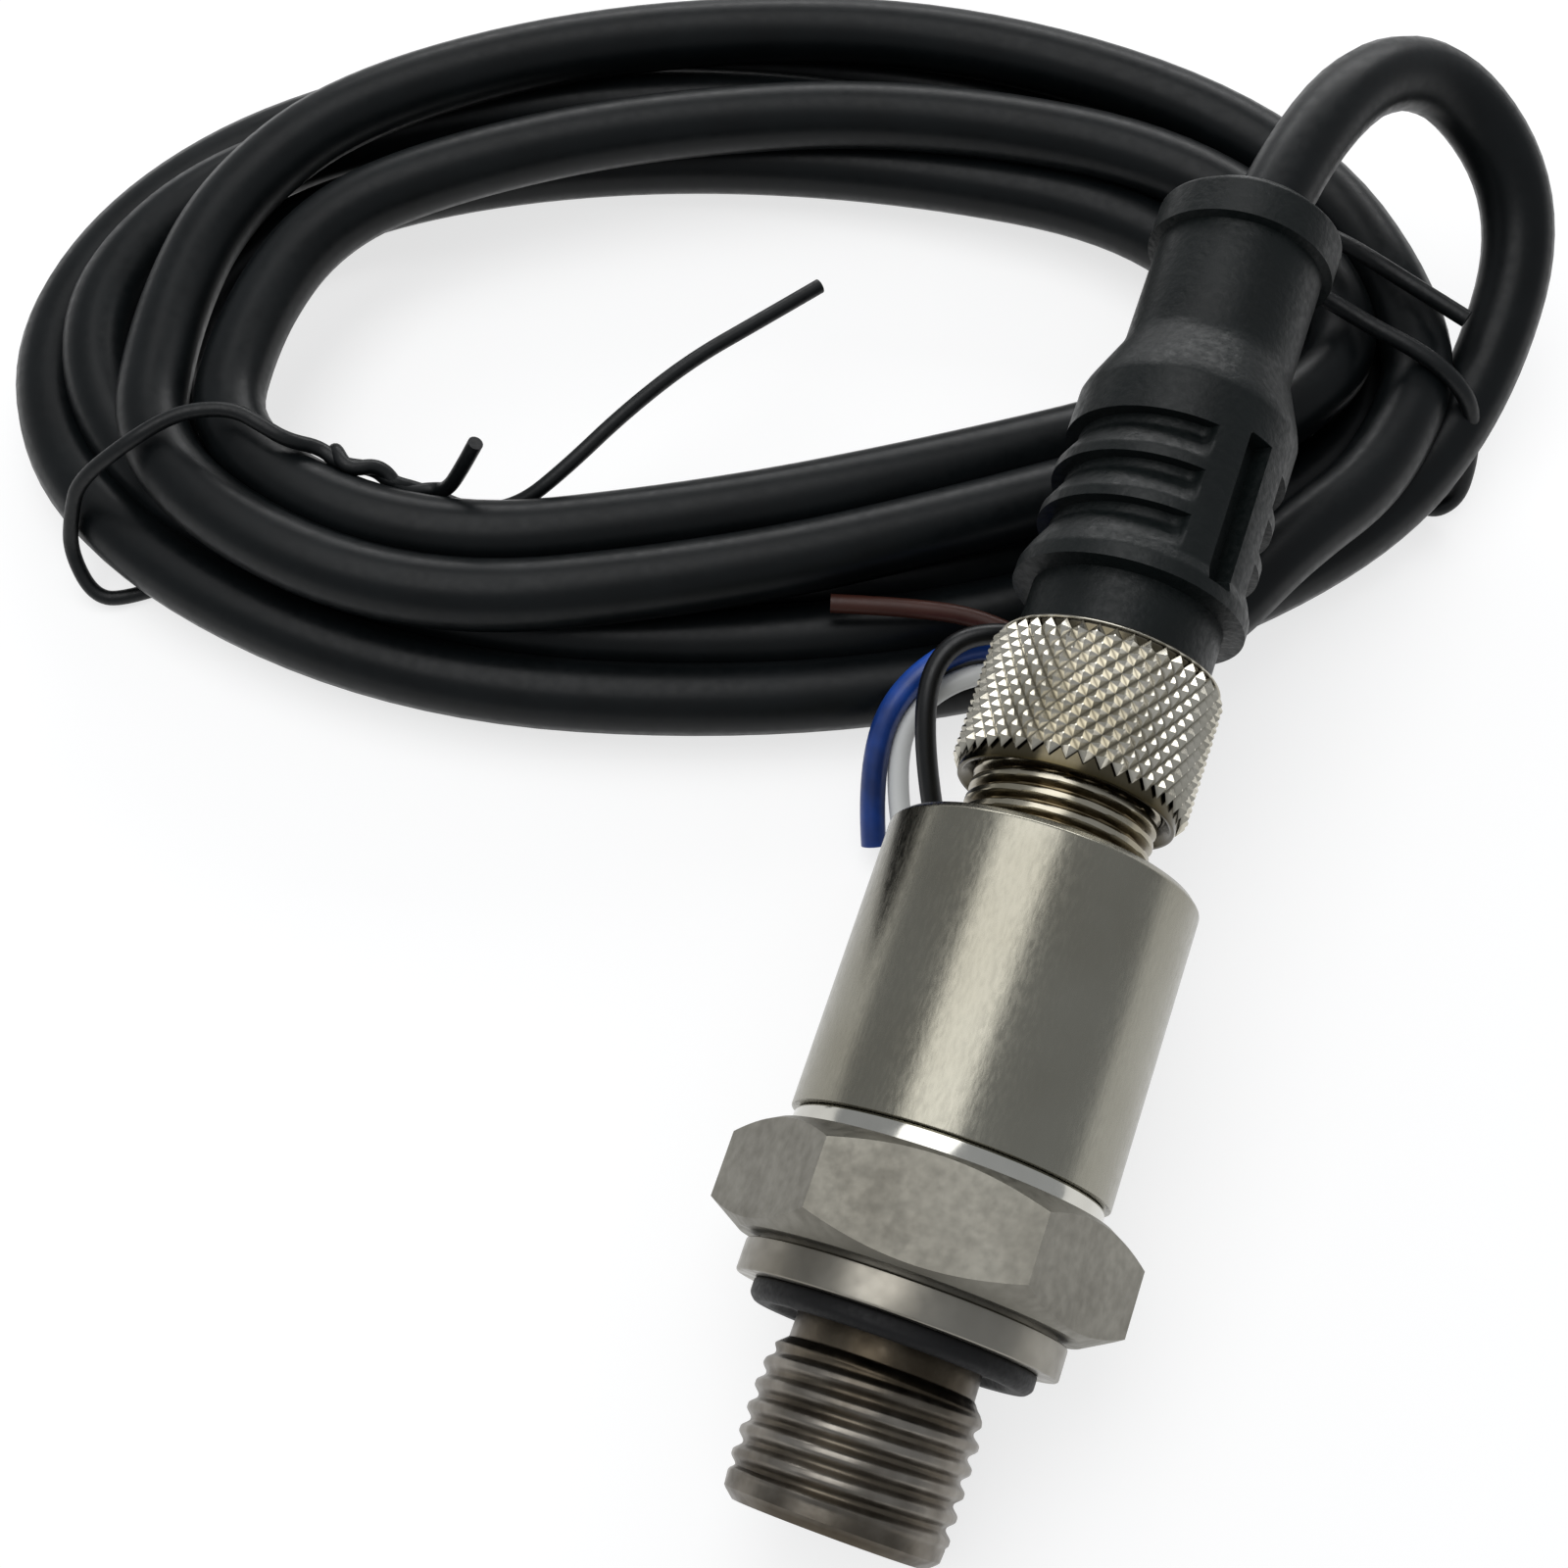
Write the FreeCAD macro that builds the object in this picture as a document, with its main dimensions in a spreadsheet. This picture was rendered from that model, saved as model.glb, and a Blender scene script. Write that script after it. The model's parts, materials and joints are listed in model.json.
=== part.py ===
"""Pressure transmitter with an M12 plug and a coiled cord, in millimetres.

The transmitter lies on the flat of its hexagon and its axis rises towards the plug end.
Pieces of the transmitter and the plug are drawn along their own axis, with z measured from
the tip of the process thread, and are then laid down by one shared placement.  The cord,
its cores and its ties are drawn where they lie on the table.
"""
import FreeCAD, Part
import Sketcher
import math
import os

Vector = FreeCAD.Vector
doc = FreeCAD.newDocument("pressure_transmitter")

# ---------------------------------------------------------------- driving sizes
SIZES = {
    # stance
    "axis_rise": 10.0, "origin_x": 0.0, "origin_y": -43.8,
    # process connection, G1/4
    "thread_dia": 13.157, "thread_reach": 12.0, "tip_dia": 11.0, "tip_chamfer": 1.1,
    "relief_dia": 11.2, "relief_width": 2.4, "runout": 0.6, "bore_dia": 3.5,
    "collar_dia": 19.2, "collar_width": 2.0, "collar_edge": 0.35,
    "groove_dia": 18.2, "groove_width": 0.35,
    "hex_flats": 22.0, "hex_width": 6.6, "hex_land_dia": 21.0, "hex_bevel": 30.0,
    "shoulder_dia": 19.2, "shoulder_width": 1.2,
    "spigot_dia": 17.2, "spigot_width": 2.6,
    "cell_room_dia": 14.0, "cell_floor": 16.2,
    # seal under the collar
    "seal_dia": 16.9, "seal_width": 1.3, "seal_lip": 0.4, "seal_hole": 11.4,
    # measuring cell
    "cell_dia": 13.8, "cell_width": 4.0, "ring_cord": 1.3, "ring_squeeze": 0.1,
    "clamp_hole": 9.6, "clamp_width": 2.2,
    "wire_dia": 0.5, "wire_pitch": 2.54,
    # electronics
    "board_gap": 3.6, "board_width": 1.2, "board_play": 0.1,
    "chip_side": 4.2, "chip_height": 1.1, "chip_offset": 5.2,
    "part_long": 3.2, "part_wide": 1.6, "part_tall": 1.3, "part_offset": 5.4,
    # housing sleeve and its M12 stub
    "sleeve_dia": 19.8, "sleeve_length": 19.1, "sleeve_edge": 0.5,
    "roof": 1.6, "stub_dia": 12.0, "stub_length": 10.3, "stub_hole": 8.8, "stub_edge": 0.6,
    # contact insert and pins
    "insert_flange": 11.2, "insert_flange_width": 1.0, "insert_height": 5.4,
    "pin_dia": 1.0, "pin_circle": 5.0, "pin_reach": 5.5, "pin_tail": 1.2,
    "o_ring_cord": 1.0,
    # coupling nut
    "nut_wall": 1.35, "nut_length": 9.7, "nut_start": 45.4, "nut_rim_drop": 0.4,
    "nut_rim_width": 0.6, "nut_back": 1.6, "nut_mouth": 0.7, "thread_play": 0.1,
    "swivel_play": 0.16, "nut_edge": 0.3,
    # plug carrier and sockets
    "carrier_dia": 8.3, "carrier_reach": 5.9, "face_seal_width": 0.8,
    "flange_dia": 11.2, "flange_width": 1.0, "neck_dia": 9.4, "carrier_length": 20.0,
    "socket_dia": 1.7, "socket_play": 0.06, "socket_length": 12.0, "key_radius": 0.6,
    # grip
    "grip_gap": 0.25, "nose_dia": 12.6, "grip_rim": 59.0, "rim_dia": 15.3, "rim_width": 1.2,
    "grip_dia": 14.7, "rim_fall": 0.6, "grip_shoulder": 72.9, "shank_start": 77.4,
    "shank_dia": 11.3, "cuff_start": 85.4, "cuff_dia": 12.6, "cuff_width": 2.8,
    "cuff_top_dia": 10.4, "grip_end": 89.0, "grip_roll": 41.6, "cord_bore_start": 75.0,
    "cord_mouth": 0.6, "cord_mouth_depth": 4.5,
    "slot_width": 1.9, "slot_length": 10.4, "slot_start": 60.1, "slot_depth": 1.3,
    "notch_first": 63.4, "notch_pitch": 3.2, "notch_count": 3, "notch_depth": 0.85,
    "notch_flat": 0.7, "notch_rise": 1.75, "notch_sweep": 129.0,
    # cord
    "cord_dia": 5.2, "cord_play": 0.1, "lead_root": 83.0, "core_dia": 1.35,
    # coil of cord
    "coil_x": -35.0, "coil_y": 81.0, "coil_turn": 22.8, "coil_long": 55.6, "coil_short": 33.0,
    "hole_x": -37.5, "hole_y": 79.5, "hole_turn": 25.0, "hole_long": 37.5, "hole_short": 18.0,
    "coil_height": 10.1, "coil_round": 4.4,
    # wire ties
    "tie_dia": 1.3, "twist_dia": 2.2,
}

sheet = doc.addObject("Spreadsheet::Sheet", "Sizes")
for row, (word, number) in enumerate(SIZES.items(), start=1):
    sheet.set(f"A{row}", word)
    sheet.set(f"B{row}", str(number))
    sheet.setAlias(f"B{row}", word)
doc.recompute()


class Length:
    """A number together with the sheet expression that gives it."""

    def __init__(self, text, value):
        self.text = text
        self.value = float(value)

    @staticmethod
    def of(other):
        return other if isinstance(other, Length) else Length(str(other), other)

    def _join(self, other, sign, value):
        return Length(f"({self.text} {sign} {Length.of(other).text})", value)

    def __add__(self, other):
        return self._join(other, "+", self.value + Length.of(other).value)

    def __sub__(self, other):
        return self._join(other, "-", self.value - Length.of(other).value)

    def __mul__(self, other):
        return self._join(other, "*", self.value * Length.of(other).value)

    def __truediv__(self, other):
        return self._join(other, "/", self.value / Length.of(other).value)

    def __neg__(self):
        return Length(f"(0 - {self.text})", -self.value)


def sine(angle):
    return Length(f"sin({angle.text})", math.sin(math.radians(angle.value)))


def cosine(angle):
    return Length(f"cos({angle.text})", math.cos(math.radians(angle.value)))


def tangent(angle):
    return Length(f"tan({angle.text})", math.tan(math.radians(angle.value)))


class Sheet:
    """Every cell of the sheet as a Length, by its alias."""

    def __init__(self, table):
        for word in table:
            setattr(self, word, Length(f"Sizes.{word}", sheet.get(word)))


S = Sheet(SIZES)
ZERO = Length("0", 0.0)

# ---------------------------------------------------------------- stations along the axis
collar_face = S.thread_reach
groove_face = collar_face + S.collar_width
hex_face = groove_face + S.groove_width
hex_top = hex_face + S.hex_width
sleeve_foot = hex_top + S.shoulder_width
spigot_top = sleeve_foot + S.spigot_width
cell_foot = S.cell_floor + S.ring_cord - S.ring_squeeze
cell_top = cell_foot + S.cell_width
clamp_top = cell_top + S.clamp_width
board_foot = clamp_top + S.board_gap
board_top = board_foot + S.board_width
sleeve_top = sleeve_foot + S.sleeve_length
roof_foot = sleeve_top - S.roof
stub_top = sleeve_top + S.stub_length
insert_foot = roof_foot - S.insert_flange_width
insert_top = insert_foot + S.insert_flange_width + S.insert_height
pin_foot = insert_foot - S.pin_tail
pin_top = insert_top + S.pin_reach
flange_foot = stub_top + S.face_seal_width
flange_top = flange_foot + S.flange_width
carrier_foot = stub_top - S.carrier_reach
carrier_top = flange_top + S.carrier_length - S.flange_width
nut_top = S.nut_start + S.nut_length
nut_back_foot = nut_top - S.nut_back
grip_foot = nut_top + S.grip_gap

# The axis is high enough for the lower edge of the hexagon's flat to touch the table.
flat_edge = hex_face + (S.hex_flats - S.hex_land_dia) / 2 * tangent(S.hex_bevel)
tip_height = S.hex_flats / 2 * cosine(S.axis_rise) - flat_edge * sine(S.axis_rise)


# ---------------------------------------------------------------- helpers
def lay_down(piece):
    """Lay a piece drawn along z on the shared, rising axis of the transmitter."""
    angle = S.axis_rise - 90
    piece.Placement = FreeCAD.Placement(
        Vector(S.origin_x.value, S.origin_y.value, tip_height.value),
        FreeCAD.Rotation(Vector(1, 0, 0), angle.value))
    piece.setExpression("Placement.Base.x", S.origin_x.text)
    piece.setExpression("Placement.Base.y", S.origin_y.text)
    piece.setExpression("Placement.Base.z", tip_height.text)
    piece.setExpression("Placement.Rotation.Angle", angle.text)
    return piece


def body(label):
    made = doc.addObject("PartDesign::Body", label)
    made.Label = label
    return made


def origin_plane(owner, role):
    return next(item for item in owner.Origin.OriginFeatures if item.Role == role)


def sketch(owner, name, role="XZ_Plane", rise=None):
    drawn = owner.newObject("Sketcher::SketchObject", name)
    drawn.AttachmentSupport = [(origin_plane(owner, role), "")]
    drawn.MapMode = "FlatFace"
    if rise is not None:
        drawn.AttachmentOffset = FreeCAD.Placement(Vector(0, 0, rise.value), FreeCAD.Rotation())
        drawn.setExpression("AttachmentOffset.Base.z", rise.text)
    return drawn


def outline(drawn, corners):
    """Draw a closed polygon whose corners are bound to the sheet.

    A coordinate that is zero is pinned to the sketch axis instead.
    """
    first = drawn.GeometryCount
    count = len(corners)
    spots = [Vector(Length.of(x).value, Length.of(y).value, 0) for x, y in corners]
    for index in range(count):
        drawn.addGeometry(Part.LineSegment(spots[index], spots[(index + 1) % count]), False)
    for index in range(count):
        here, following = first + index, first + (index + 1) % count
        drawn.addConstraint(Sketcher.Constraint("Coincident", here, 2, following, 1))
    for index, (x, y) in enumerate(corners):
        for kind, axis, amount in (("DistanceX", -2, x), ("DistanceY", -1, y)):
            amount = Length.of(amount)
            if abs(amount.value) < 1e-9:
                drawn.addConstraint(Sketcher.Constraint("PointOnObject", first + index, 1, axis))
                continue
            made = drawn.addConstraint(
                Sketcher.Constraint(kind, -1, 1, first + index, 1, amount.value))
            drawn.setExpression(f"Constraints[{made}]", amount.text)


def disc(drawn, x, y, radius):
    """Draw a circle whose centre and radius are bound to the sheet."""
    x, y, radius = Length.of(x), Length.of(y), Length.of(radius)
    circle = drawn.addGeometry(
        Part.Circle(Vector(x.value, y.value, 0), Vector(0, 0, 1), radius.value), False)
    made = drawn.addConstraint(Sketcher.Constraint("Radius", circle, radius.value))
    drawn.setExpression(f"Constraints[{made}]", radius.text)
    if abs(x.value) < 1e-9 and abs(y.value) < 1e-9:
        drawn.addConstraint(Sketcher.Constraint("Coincident", circle, 3, -1, 1))
        return
    for kind, axis, amount in (("DistanceX", -2, x), ("DistanceY", -1, y)):
        if abs(amount.value) < 1e-9:
            drawn.addConstraint(Sketcher.Constraint("PointOnObject", circle, 3, axis))
            continue
        made = drawn.addConstraint(Sketcher.Constraint(kind, -1, 1, circle, 3, amount.value))
        drawn.setExpression(f"Constraints[{made}]", amount.text)


def revolve(owner, name, corners):
    """Turn a closed half section about the body's z axis."""
    drawn = sketch(owner, name + "_section")
    outline(drawn, corners)
    made = owner.newObject("PartDesign::Revolution", name)
    made.Profile = drawn
    made.ReferenceAxis = (drawn, ["V_Axis"])
    made.Angle = 360
    drawn.Visibility = False
    return made


def pad(owner, name, drawn, length):
    made = owner.newObject("PartDesign::Pad", name)
    made.Profile = drawn
    made.Length = length.value
    made.setExpression("Length", length.text)
    return made


def pocket(owner, name, drawn, length, backwards=False):
    """Cut a sketch into its body and make sure that something was cut away."""
    doc.recompute()
    before = owner.Shape.Volume
    made = owner.newObject("PartDesign::Pocket", name)
    made.Profile = drawn
    made.Length = length.value
    made.setExpression("Length", length.text)
    made.Reversed = backwards
    doc.recompute()
    if owner.Shape.Volume > before - 1e-4:
        raise RuntimeError(f"{name} cuts nothing")
    return made


def pin_spots():
    """The four contact positions, on the diagonals of the pin circle."""
    reach = S.pin_circle / 2 * cosine(Length("45", 45))
    return [(reach, reach), (-reach, reach), (-reach, -reach), (reach, -reach)]


def four_rods(label, circle_radius, foot, length, spots, hole_radius=None):
    """Four equal rods or tubes along z, kept as one node."""
    rods = []
    for number, (x, y) in enumerate(spots, start=1):
        rod = doc.addObject("Part::Cylinder", f"{label}_{number}")
        rod.setExpression("Radius", circle_radius.text)
        rod.setExpression("Height", length.text)
        if hole_radius is not None:
            hole = doc.addObject("Part::Cylinder", f"{label}_{number}_hole")
            hole.setExpression("Radius", hole_radius.text)
            hole.setExpression("Height", length.text)
            tube = doc.addObject("Part::Cut", f"{label}_{number}_tube")
            tube.Base, tube.Tool = rod, hole
            rod = tube
        rod.setExpression("Placement.Base.x", x.text)
        rod.setExpression("Placement.Base.y", y.text)
        rod.setExpression("Placement.Base.z", foot.text)
        rods.append(rod)
    group = doc.addObject("Part::Compound", label)
    group.Label = label
    group.Links = rods
    return group


def rounded_route(points, closed=False):
    """Join straight runs with tangent arcs; the radii are returned with the wire."""
    count = len(points)
    turns = range(count) if closed else range(1, count - 1)
    starts, ends, arcs, radii = {}, {}, {}, []
    for index in turns:
        here = points[index]
        back, ahead = points[index - 1] - here, points[(index + 1) % count] - here
        half = (math.pi - back.getAngle(ahead)) / 2
        cut = 0.45 * min(back.Length, ahead.Length)
        radius = cut / math.tan(half)
        back.normalize()
        ahead.normalize()
        middle = back + ahead
        middle.normalize()
        centre = here + middle * (radius / math.cos(half))
        starts[index], ends[index] = here + back * cut, here + ahead * cut
        arcs[index] = Part.Arc(starts[index], centre - middle * radius, ends[index]).toShape()
        radii.append(radius)
    edges = []
    for index in range(count if closed else count - 1):
        following = (index + 1) % count
        here = ends.get(index, points[index])
        there = starts.get(following, points[following])
        edges.append(Part.LineSegment(here, there).toShape())
        if following in arcs and (closed or following < count - 1):
            edges.append(arcs[following])
    return Part.Wire(edges), radii


def round_bar(name, points, diameter, closed=False):
    """Sweep a round section along a route of straight runs and arcs."""
    wire, radii = rounded_route(points, closed)
    route = doc.addObject("Part::Feature", name + "_route")
    route.Shape = wire
    section = doc.addObject("Part::Circle", name + "_section")
    section.setExpression("Radius", (diameter / 2).text)
    first = wire.OrderedEdges[0]
    section.Placement = FreeCAD.Placement(
        first.valueAt(first.FirstParameter),
        FreeCAD.Rotation(Vector(0, 0, 1), first.tangentAt(first.FirstParameter)))
    bar = doc.addObject("Part::Sweep", name)
    bar.Sections = [section]
    bar.Spine = (route, [f"Edge{n + 1}" for n in range(len(wire.Edges))])
    bar.Solid = True
    bar.Frenet = False
    tightest = f"{min(radii):.1f}" if radii else "straight"
    print(f"{name}: length {wire.Length:.1f}, tightest bend {tightest}")
    return bar


def on_table(*spots):
    """Points of the cord, measured from the foot of the transmitter's tip."""
    return [Vector(S.origin_x.value + x, S.origin_y.value + y, z) for x, y, z in spots]


def on_axis(station):
    """The point of the transmitter's axis at a station."""
    rise = math.radians(S.axis_rise.value)
    return Vector(S.origin_x.value,
                  S.origin_y.value + station * math.cos(rise),
                  tip_height.value + station * math.sin(rise))


pieces = []

# ---------------------------------------------------------------- process connection
process_body = body("process_body")
corner = S.hex_flats / cosine(Length("30", 30)) / 2
bevel = (corner - S.hex_land_dia / 2) * tangent(S.hex_bevel)
revolve(process_body, "turned_form", [
    (S.bore_dia / 2, ZERO), (S.tip_dia / 2, ZERO),
    (S.thread_dia / 2, S.tip_chamfer),
    (S.thread_dia / 2, collar_face - S.relief_width - S.runout),
    (S.relief_dia / 2, collar_face - S.relief_width),
    (S.relief_dia / 2, collar_face),
    (S.collar_dia / 2 - S.collar_edge, collar_face),
    (S.collar_dia / 2, collar_face + S.collar_edge),
    (S.collar_dia / 2, groove_face), (S.groove_dia / 2, groove_face),
    (S.groove_dia / 2, hex_face), (S.hex_land_dia / 2, hex_face),
    (corner, hex_face + bevel), (corner, hex_top - bevel),
    (S.hex_land_dia / 2, hex_top), (S.shoulder_dia / 2, hex_top),
    (S.shoulder_dia / 2, sleeve_foot), (S.spigot_dia / 2, sleeve_foot),
    (S.spigot_dia / 2, spigot_top), (S.cell_room_dia / 2, spigot_top),
    (S.cell_room_dia / 2, S.cell_floor), (S.bore_dia / 2, S.cell_floor)])
flats = sketch(process_body, "hexagon_waste", "XY_Plane", hex_face - 0.05)
disc(flats, ZERO, ZERO, corner + 1)
half_side = corner / 2
outline(flats, [(corner, ZERO), (half_side, S.hex_flats / 2), (-half_side, S.hex_flats / 2),
                (-corner, ZERO), (-half_side, -S.hex_flats / 2), (half_side, -S.hex_flats / 2)])
pocket(process_body, "hexagon", flats, S.hex_width + 0.1, backwards=True)
pieces.append(lay_down(process_body))

process_seal = body("process_seal")
revolve(process_seal, "seal_ring", [
    (S.seal_hole / 2, collar_face - S.seal_width + S.seal_lip),
    (S.seal_hole / 2 + S.seal_lip, collar_face - S.seal_width),
    (S.seal_dia / 2 - S.seal_lip, collar_face - S.seal_width),
    (S.seal_dia / 2, collar_face - S.seal_width + S.seal_lip),
    (S.seal_dia / 2, collar_face), (S.seal_hole / 2, collar_face)])
pieces.append(lay_down(process_seal))

# ---------------------------------------------------------------- measuring cell
cell_seal = doc.addObject("Part::Torus", "cell_seal")
cell_seal.setExpression("Radius1", (S.cell_dia / 2 - S.ring_cord / 2).text)
cell_seal.setExpression("Radius2", ((S.ring_cord - S.ring_squeeze) / 2).text)
cell_seal.setExpression("Placement.Base.z", (S.cell_floor + (S.ring_cord - S.ring_squeeze) / 2).text)
cell_ring = doc.addObject("Part::Compound", "sensor_o_ring")
cell_ring.Links = [cell_seal]
pieces.append(lay_down(cell_ring))

sensor_cell = body("sensor_cell")
revolve(sensor_cell, "cell_disc", [
    (ZERO, cell_foot), (S.cell_dia / 2, cell_foot), (S.cell_dia / 2, cell_top), (ZERO, cell_top)])
pieces.append(lay_down(sensor_cell))

clamp_ring = body("clamp_ring")
revolve(clamp_ring, "threaded_ring", [
    (S.clamp_hole / 2, cell_top), (S.cell_room_dia / 2, cell_top),
    (S.cell_room_dia / 2, clamp_top), (S.clamp_hole / 2, clamp_top)])
pieces.append(lay_down(clamp_ring))

half_pitch = S.wire_pitch / 2
square = [(half_pitch, half_pitch), (-half_pitch, half_pitch),
          (-half_pitch, -half_pitch), (half_pitch, -half_pitch)]
pieces.append(lay_down(four_rods("sensor_leads", S.wire_dia / 2, cell_top,
                                 board_foot - cell_top, square)))

# ---------------------------------------------------------------- electronics
room_radius = S.spigot_dia / 2
circuit_board = body("circuit_board")
revolve(circuit_board, "board_disc", [
    (ZERO, board_foot), (room_radius - S.board_play, board_foot),
    (room_radius - S.board_play, board_top), (ZERO, board_top)])
pieces.append(lay_down(circuit_board))


def on_board(label, along, across, tall, x, y):
    """A rectangular component that sits on the board."""
    made = body(label)
    drawn = sketch(made, label + "_outline", "XY_Plane", board_top)
    outline(drawn, [(x - along / 2, y - across / 2), (x + along / 2, y - across / 2),
                    (x + along / 2, y + across / 2), (x - along / 2, y + across / 2)])
    pad(made, label + "_block", drawn, tall)
    return lay_down(made)


pieces.append(on_board("board_chip", S.chip_side, S.chip_side, S.chip_height,
                       S.chip_offset, ZERO))
pieces.append(on_board("board_capacitor", S.part_wide, S.part_long, S.part_tall,
                       -S.part_offset, ZERO))
pieces.append(lay_down(four_rods("board_leads", S.wire_dia / 2, board_top,
                                 pin_foot - board_top, pin_spots())))

# ---------------------------------------------------------------- housing sleeve
housing_sleeve = body("housing_sleeve")
revolve(housing_sleeve, "sleeve_and_stub", [
    (room_radius, sleeve_foot), (S.sleeve_dia / 2, sleeve_foot),
    (S.sleeve_dia / 2, sleeve_top - S.sleeve_edge),
    (S.sleeve_dia / 2 - S.sleeve_edge, sleeve_top),
    (S.stub_dia / 2, sleeve_top), (S.stub_dia / 2, stub_top - S.stub_edge),
    (S.stub_dia / 2 - S.stub_edge, stub_top), (S.stub_hole / 2, stub_top),
    (S.stub_hole / 2, roof_foot), (room_radius, roof_foot)])
pieces.append(lay_down(housing_sleeve))

contact_insert = body("contact_insert")
ring_seat = S.stub_hole / 2 - S.o_ring_cord * 0.8
ring_foot = roof_foot + S.roof
revolve(contact_insert, "insert_form", [
    (ZERO, insert_foot), (S.insert_flange / 2, insert_foot), (S.insert_flange / 2, roof_foot),
    (S.stub_hole / 2, roof_foot), (S.stub_hole / 2, ring_foot), (ring_seat, ring_foot),
    (ring_seat, ring_foot + S.o_ring_cord), (S.stub_hole / 2, ring_foot + S.o_ring_cord),
    (S.stub_hole / 2, insert_top), (ZERO, insert_top)])
pin_holes = sketch(contact_insert, "pin_holes_sketch", "XY_Plane", insert_foot)
for x, y in pin_spots():
    disc(pin_holes, x, y, S.pin_dia / 2)
pocket(contact_insert, "pin_holes", pin_holes, insert_top - insert_foot, backwards=True)
pieces.append(lay_down(contact_insert))

insert_o_ring = body("insert_o_ring")
revolve(insert_o_ring, "ring_in_seat", [
    (ring_seat, ring_foot), (S.stub_hole / 2, ring_foot),
    (S.stub_hole / 2, ring_foot + S.o_ring_cord), (ring_seat, ring_foot + S.o_ring_cord)])
pieces.append(lay_down(insert_o_ring))

pieces.append(lay_down(four_rods("contact_pins", S.pin_dia / 2, pin_foot,
                                 pin_top - pin_foot, pin_spots())))

# ---------------------------------------------------------------- coupling nut
coupling_nut = body("coupling_nut")
nut_bore = S.stub_dia / 2 + S.thread_play / 2
nut_radius = nut_bore + S.nut_wall
revolve(coupling_nut, "nut_form", [
    (nut_bore + S.nut_mouth, S.nut_start), (nut_radius - S.nut_rim_drop, S.nut_start),
    (nut_radius, S.nut_start + S.nut_rim_width), (nut_radius, nut_top - S.nut_edge),
    (nut_radius - S.nut_edge, nut_top), (S.neck_dia / 2 + S.swivel_play, nut_top),
    (S.neck_dia / 2 + S.swivel_play, nut_back_foot), (nut_bore, nut_back_foot),
    (nut_bore, S.nut_start + S.nut_mouth)])
pieces.append(lay_down(coupling_nut))

# ---------------------------------------------------------------- plug
plug_carrier = body("plug_carrier")
revolve(plug_carrier, "carrier_form", [
    (ZERO, carrier_foot), (S.carrier_dia / 2, carrier_foot),
    (S.carrier_dia / 2, flange_foot), (S.flange_dia / 2, flange_foot),
    (S.flange_dia / 2, flange_top), (S.neck_dia / 2, flange_top),
    (S.neck_dia / 2, carrier_top), (ZERO, carrier_top)])
socket_holes = sketch(plug_carrier, "socket_holes_sketch", "XY_Plane", carrier_foot)
for x, y in pin_spots():
    disc(socket_holes, x, y, S.socket_dia / 2)
pocket(plug_carrier, "socket_holes", socket_holes, S.socket_length, backwards=True)
keyway = sketch(plug_carrier, "keyway_sketch", "XY_Plane", carrier_foot)
disc(keyway, ZERO, S.carrier_dia / 2, S.key_radius)
pocket(plug_carrier, "keyway", keyway, S.carrier_reach, backwards=True)
pieces.append(lay_down(plug_carrier))

pieces.append(lay_down(four_rods(
    "socket_contacts", S.socket_dia / 2, carrier_foot, S.socket_length, pin_spots(),
    hole_radius=S.pin_dia / 2 + S.socket_play)))

plug_face_seal = body("plug_face_seal")
revolve(plug_face_seal, "flat_ring", [
    (S.carrier_dia / 2, stub_top), (S.flange_dia / 2, stub_top),
    (S.flange_dia / 2, flange_foot), (S.carrier_dia / 2, flange_foot)])
pieces.append(lay_down(plug_face_seal))

grip_body = body("grip_body")
cord_hole = (S.cord_dia + S.cord_play) / 2
revolve(grip_body, "grip_form", [
    (S.neck_dia / 2, grip_foot), (S.nose_dia / 2, grip_foot), (S.nose_dia / 2, S.grip_rim),
    (S.rim_dia / 2, S.grip_rim), (S.rim_dia / 2, S.grip_rim + S.rim_width),
    (S.grip_dia / 2, S.grip_rim + S.rim_width + S.rim_fall),
    (S.grip_dia / 2, S.grip_shoulder), (S.shank_dia / 2, S.shank_start),
    (S.shank_dia / 2, S.cuff_start), (S.cuff_dia / 2, S.cuff_start),
    (S.cuff_dia / 2, S.cuff_start + S.cuff_width), (S.cuff_top_dia / 2, S.grip_end),
    (cord_hole + S.cord_mouth, S.grip_end), (cord_hole, S.grip_end - S.cord_mouth_depth),
    (cord_hole, S.cord_bore_start), (ZERO, S.cord_bore_start),
    (ZERO, carrier_top), (S.neck_dia / 2, carrier_top)])


def turned_sketch(owner, name, turn, rise=None):
    """A sketch on a plane through the axis, turned about it."""
    drawn = sketch(owner, name)
    lift = rise.value if rise is not None else 0.0
    drawn.AttachmentOffset = FreeCAD.Placement(
        FreeCAD.Rotation(Vector(0, 1, 0), turn.value).multVec(Vector(0, 0, lift)),
        FreeCAD.Rotation(Vector(0, 1, 0), turn.value))
    drawn.setExpression("AttachmentOffset.Rotation.Angle", turn.text)
    if rise is not None:
        drawn.setExpression("AttachmentOffset.Base.x", (rise * sine(turn)).text)
        drawn.setExpression("AttachmentOffset.Base.z", (rise * cosine(turn)).text)
    return drawn


def both_sides(owner, name, feature):
    """Repeat a cut on the far side of the axis."""
    pattern = owner.newObject("PartDesign::PolarPattern", name)
    pattern.Originals = [feature]
    pattern.Axis = (origin_plane(owner, "Z_Axis"), [""])
    pattern.Angle = 360
    pattern.Occurrences = 2
    owner.Tip = pattern
    return pattern


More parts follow.
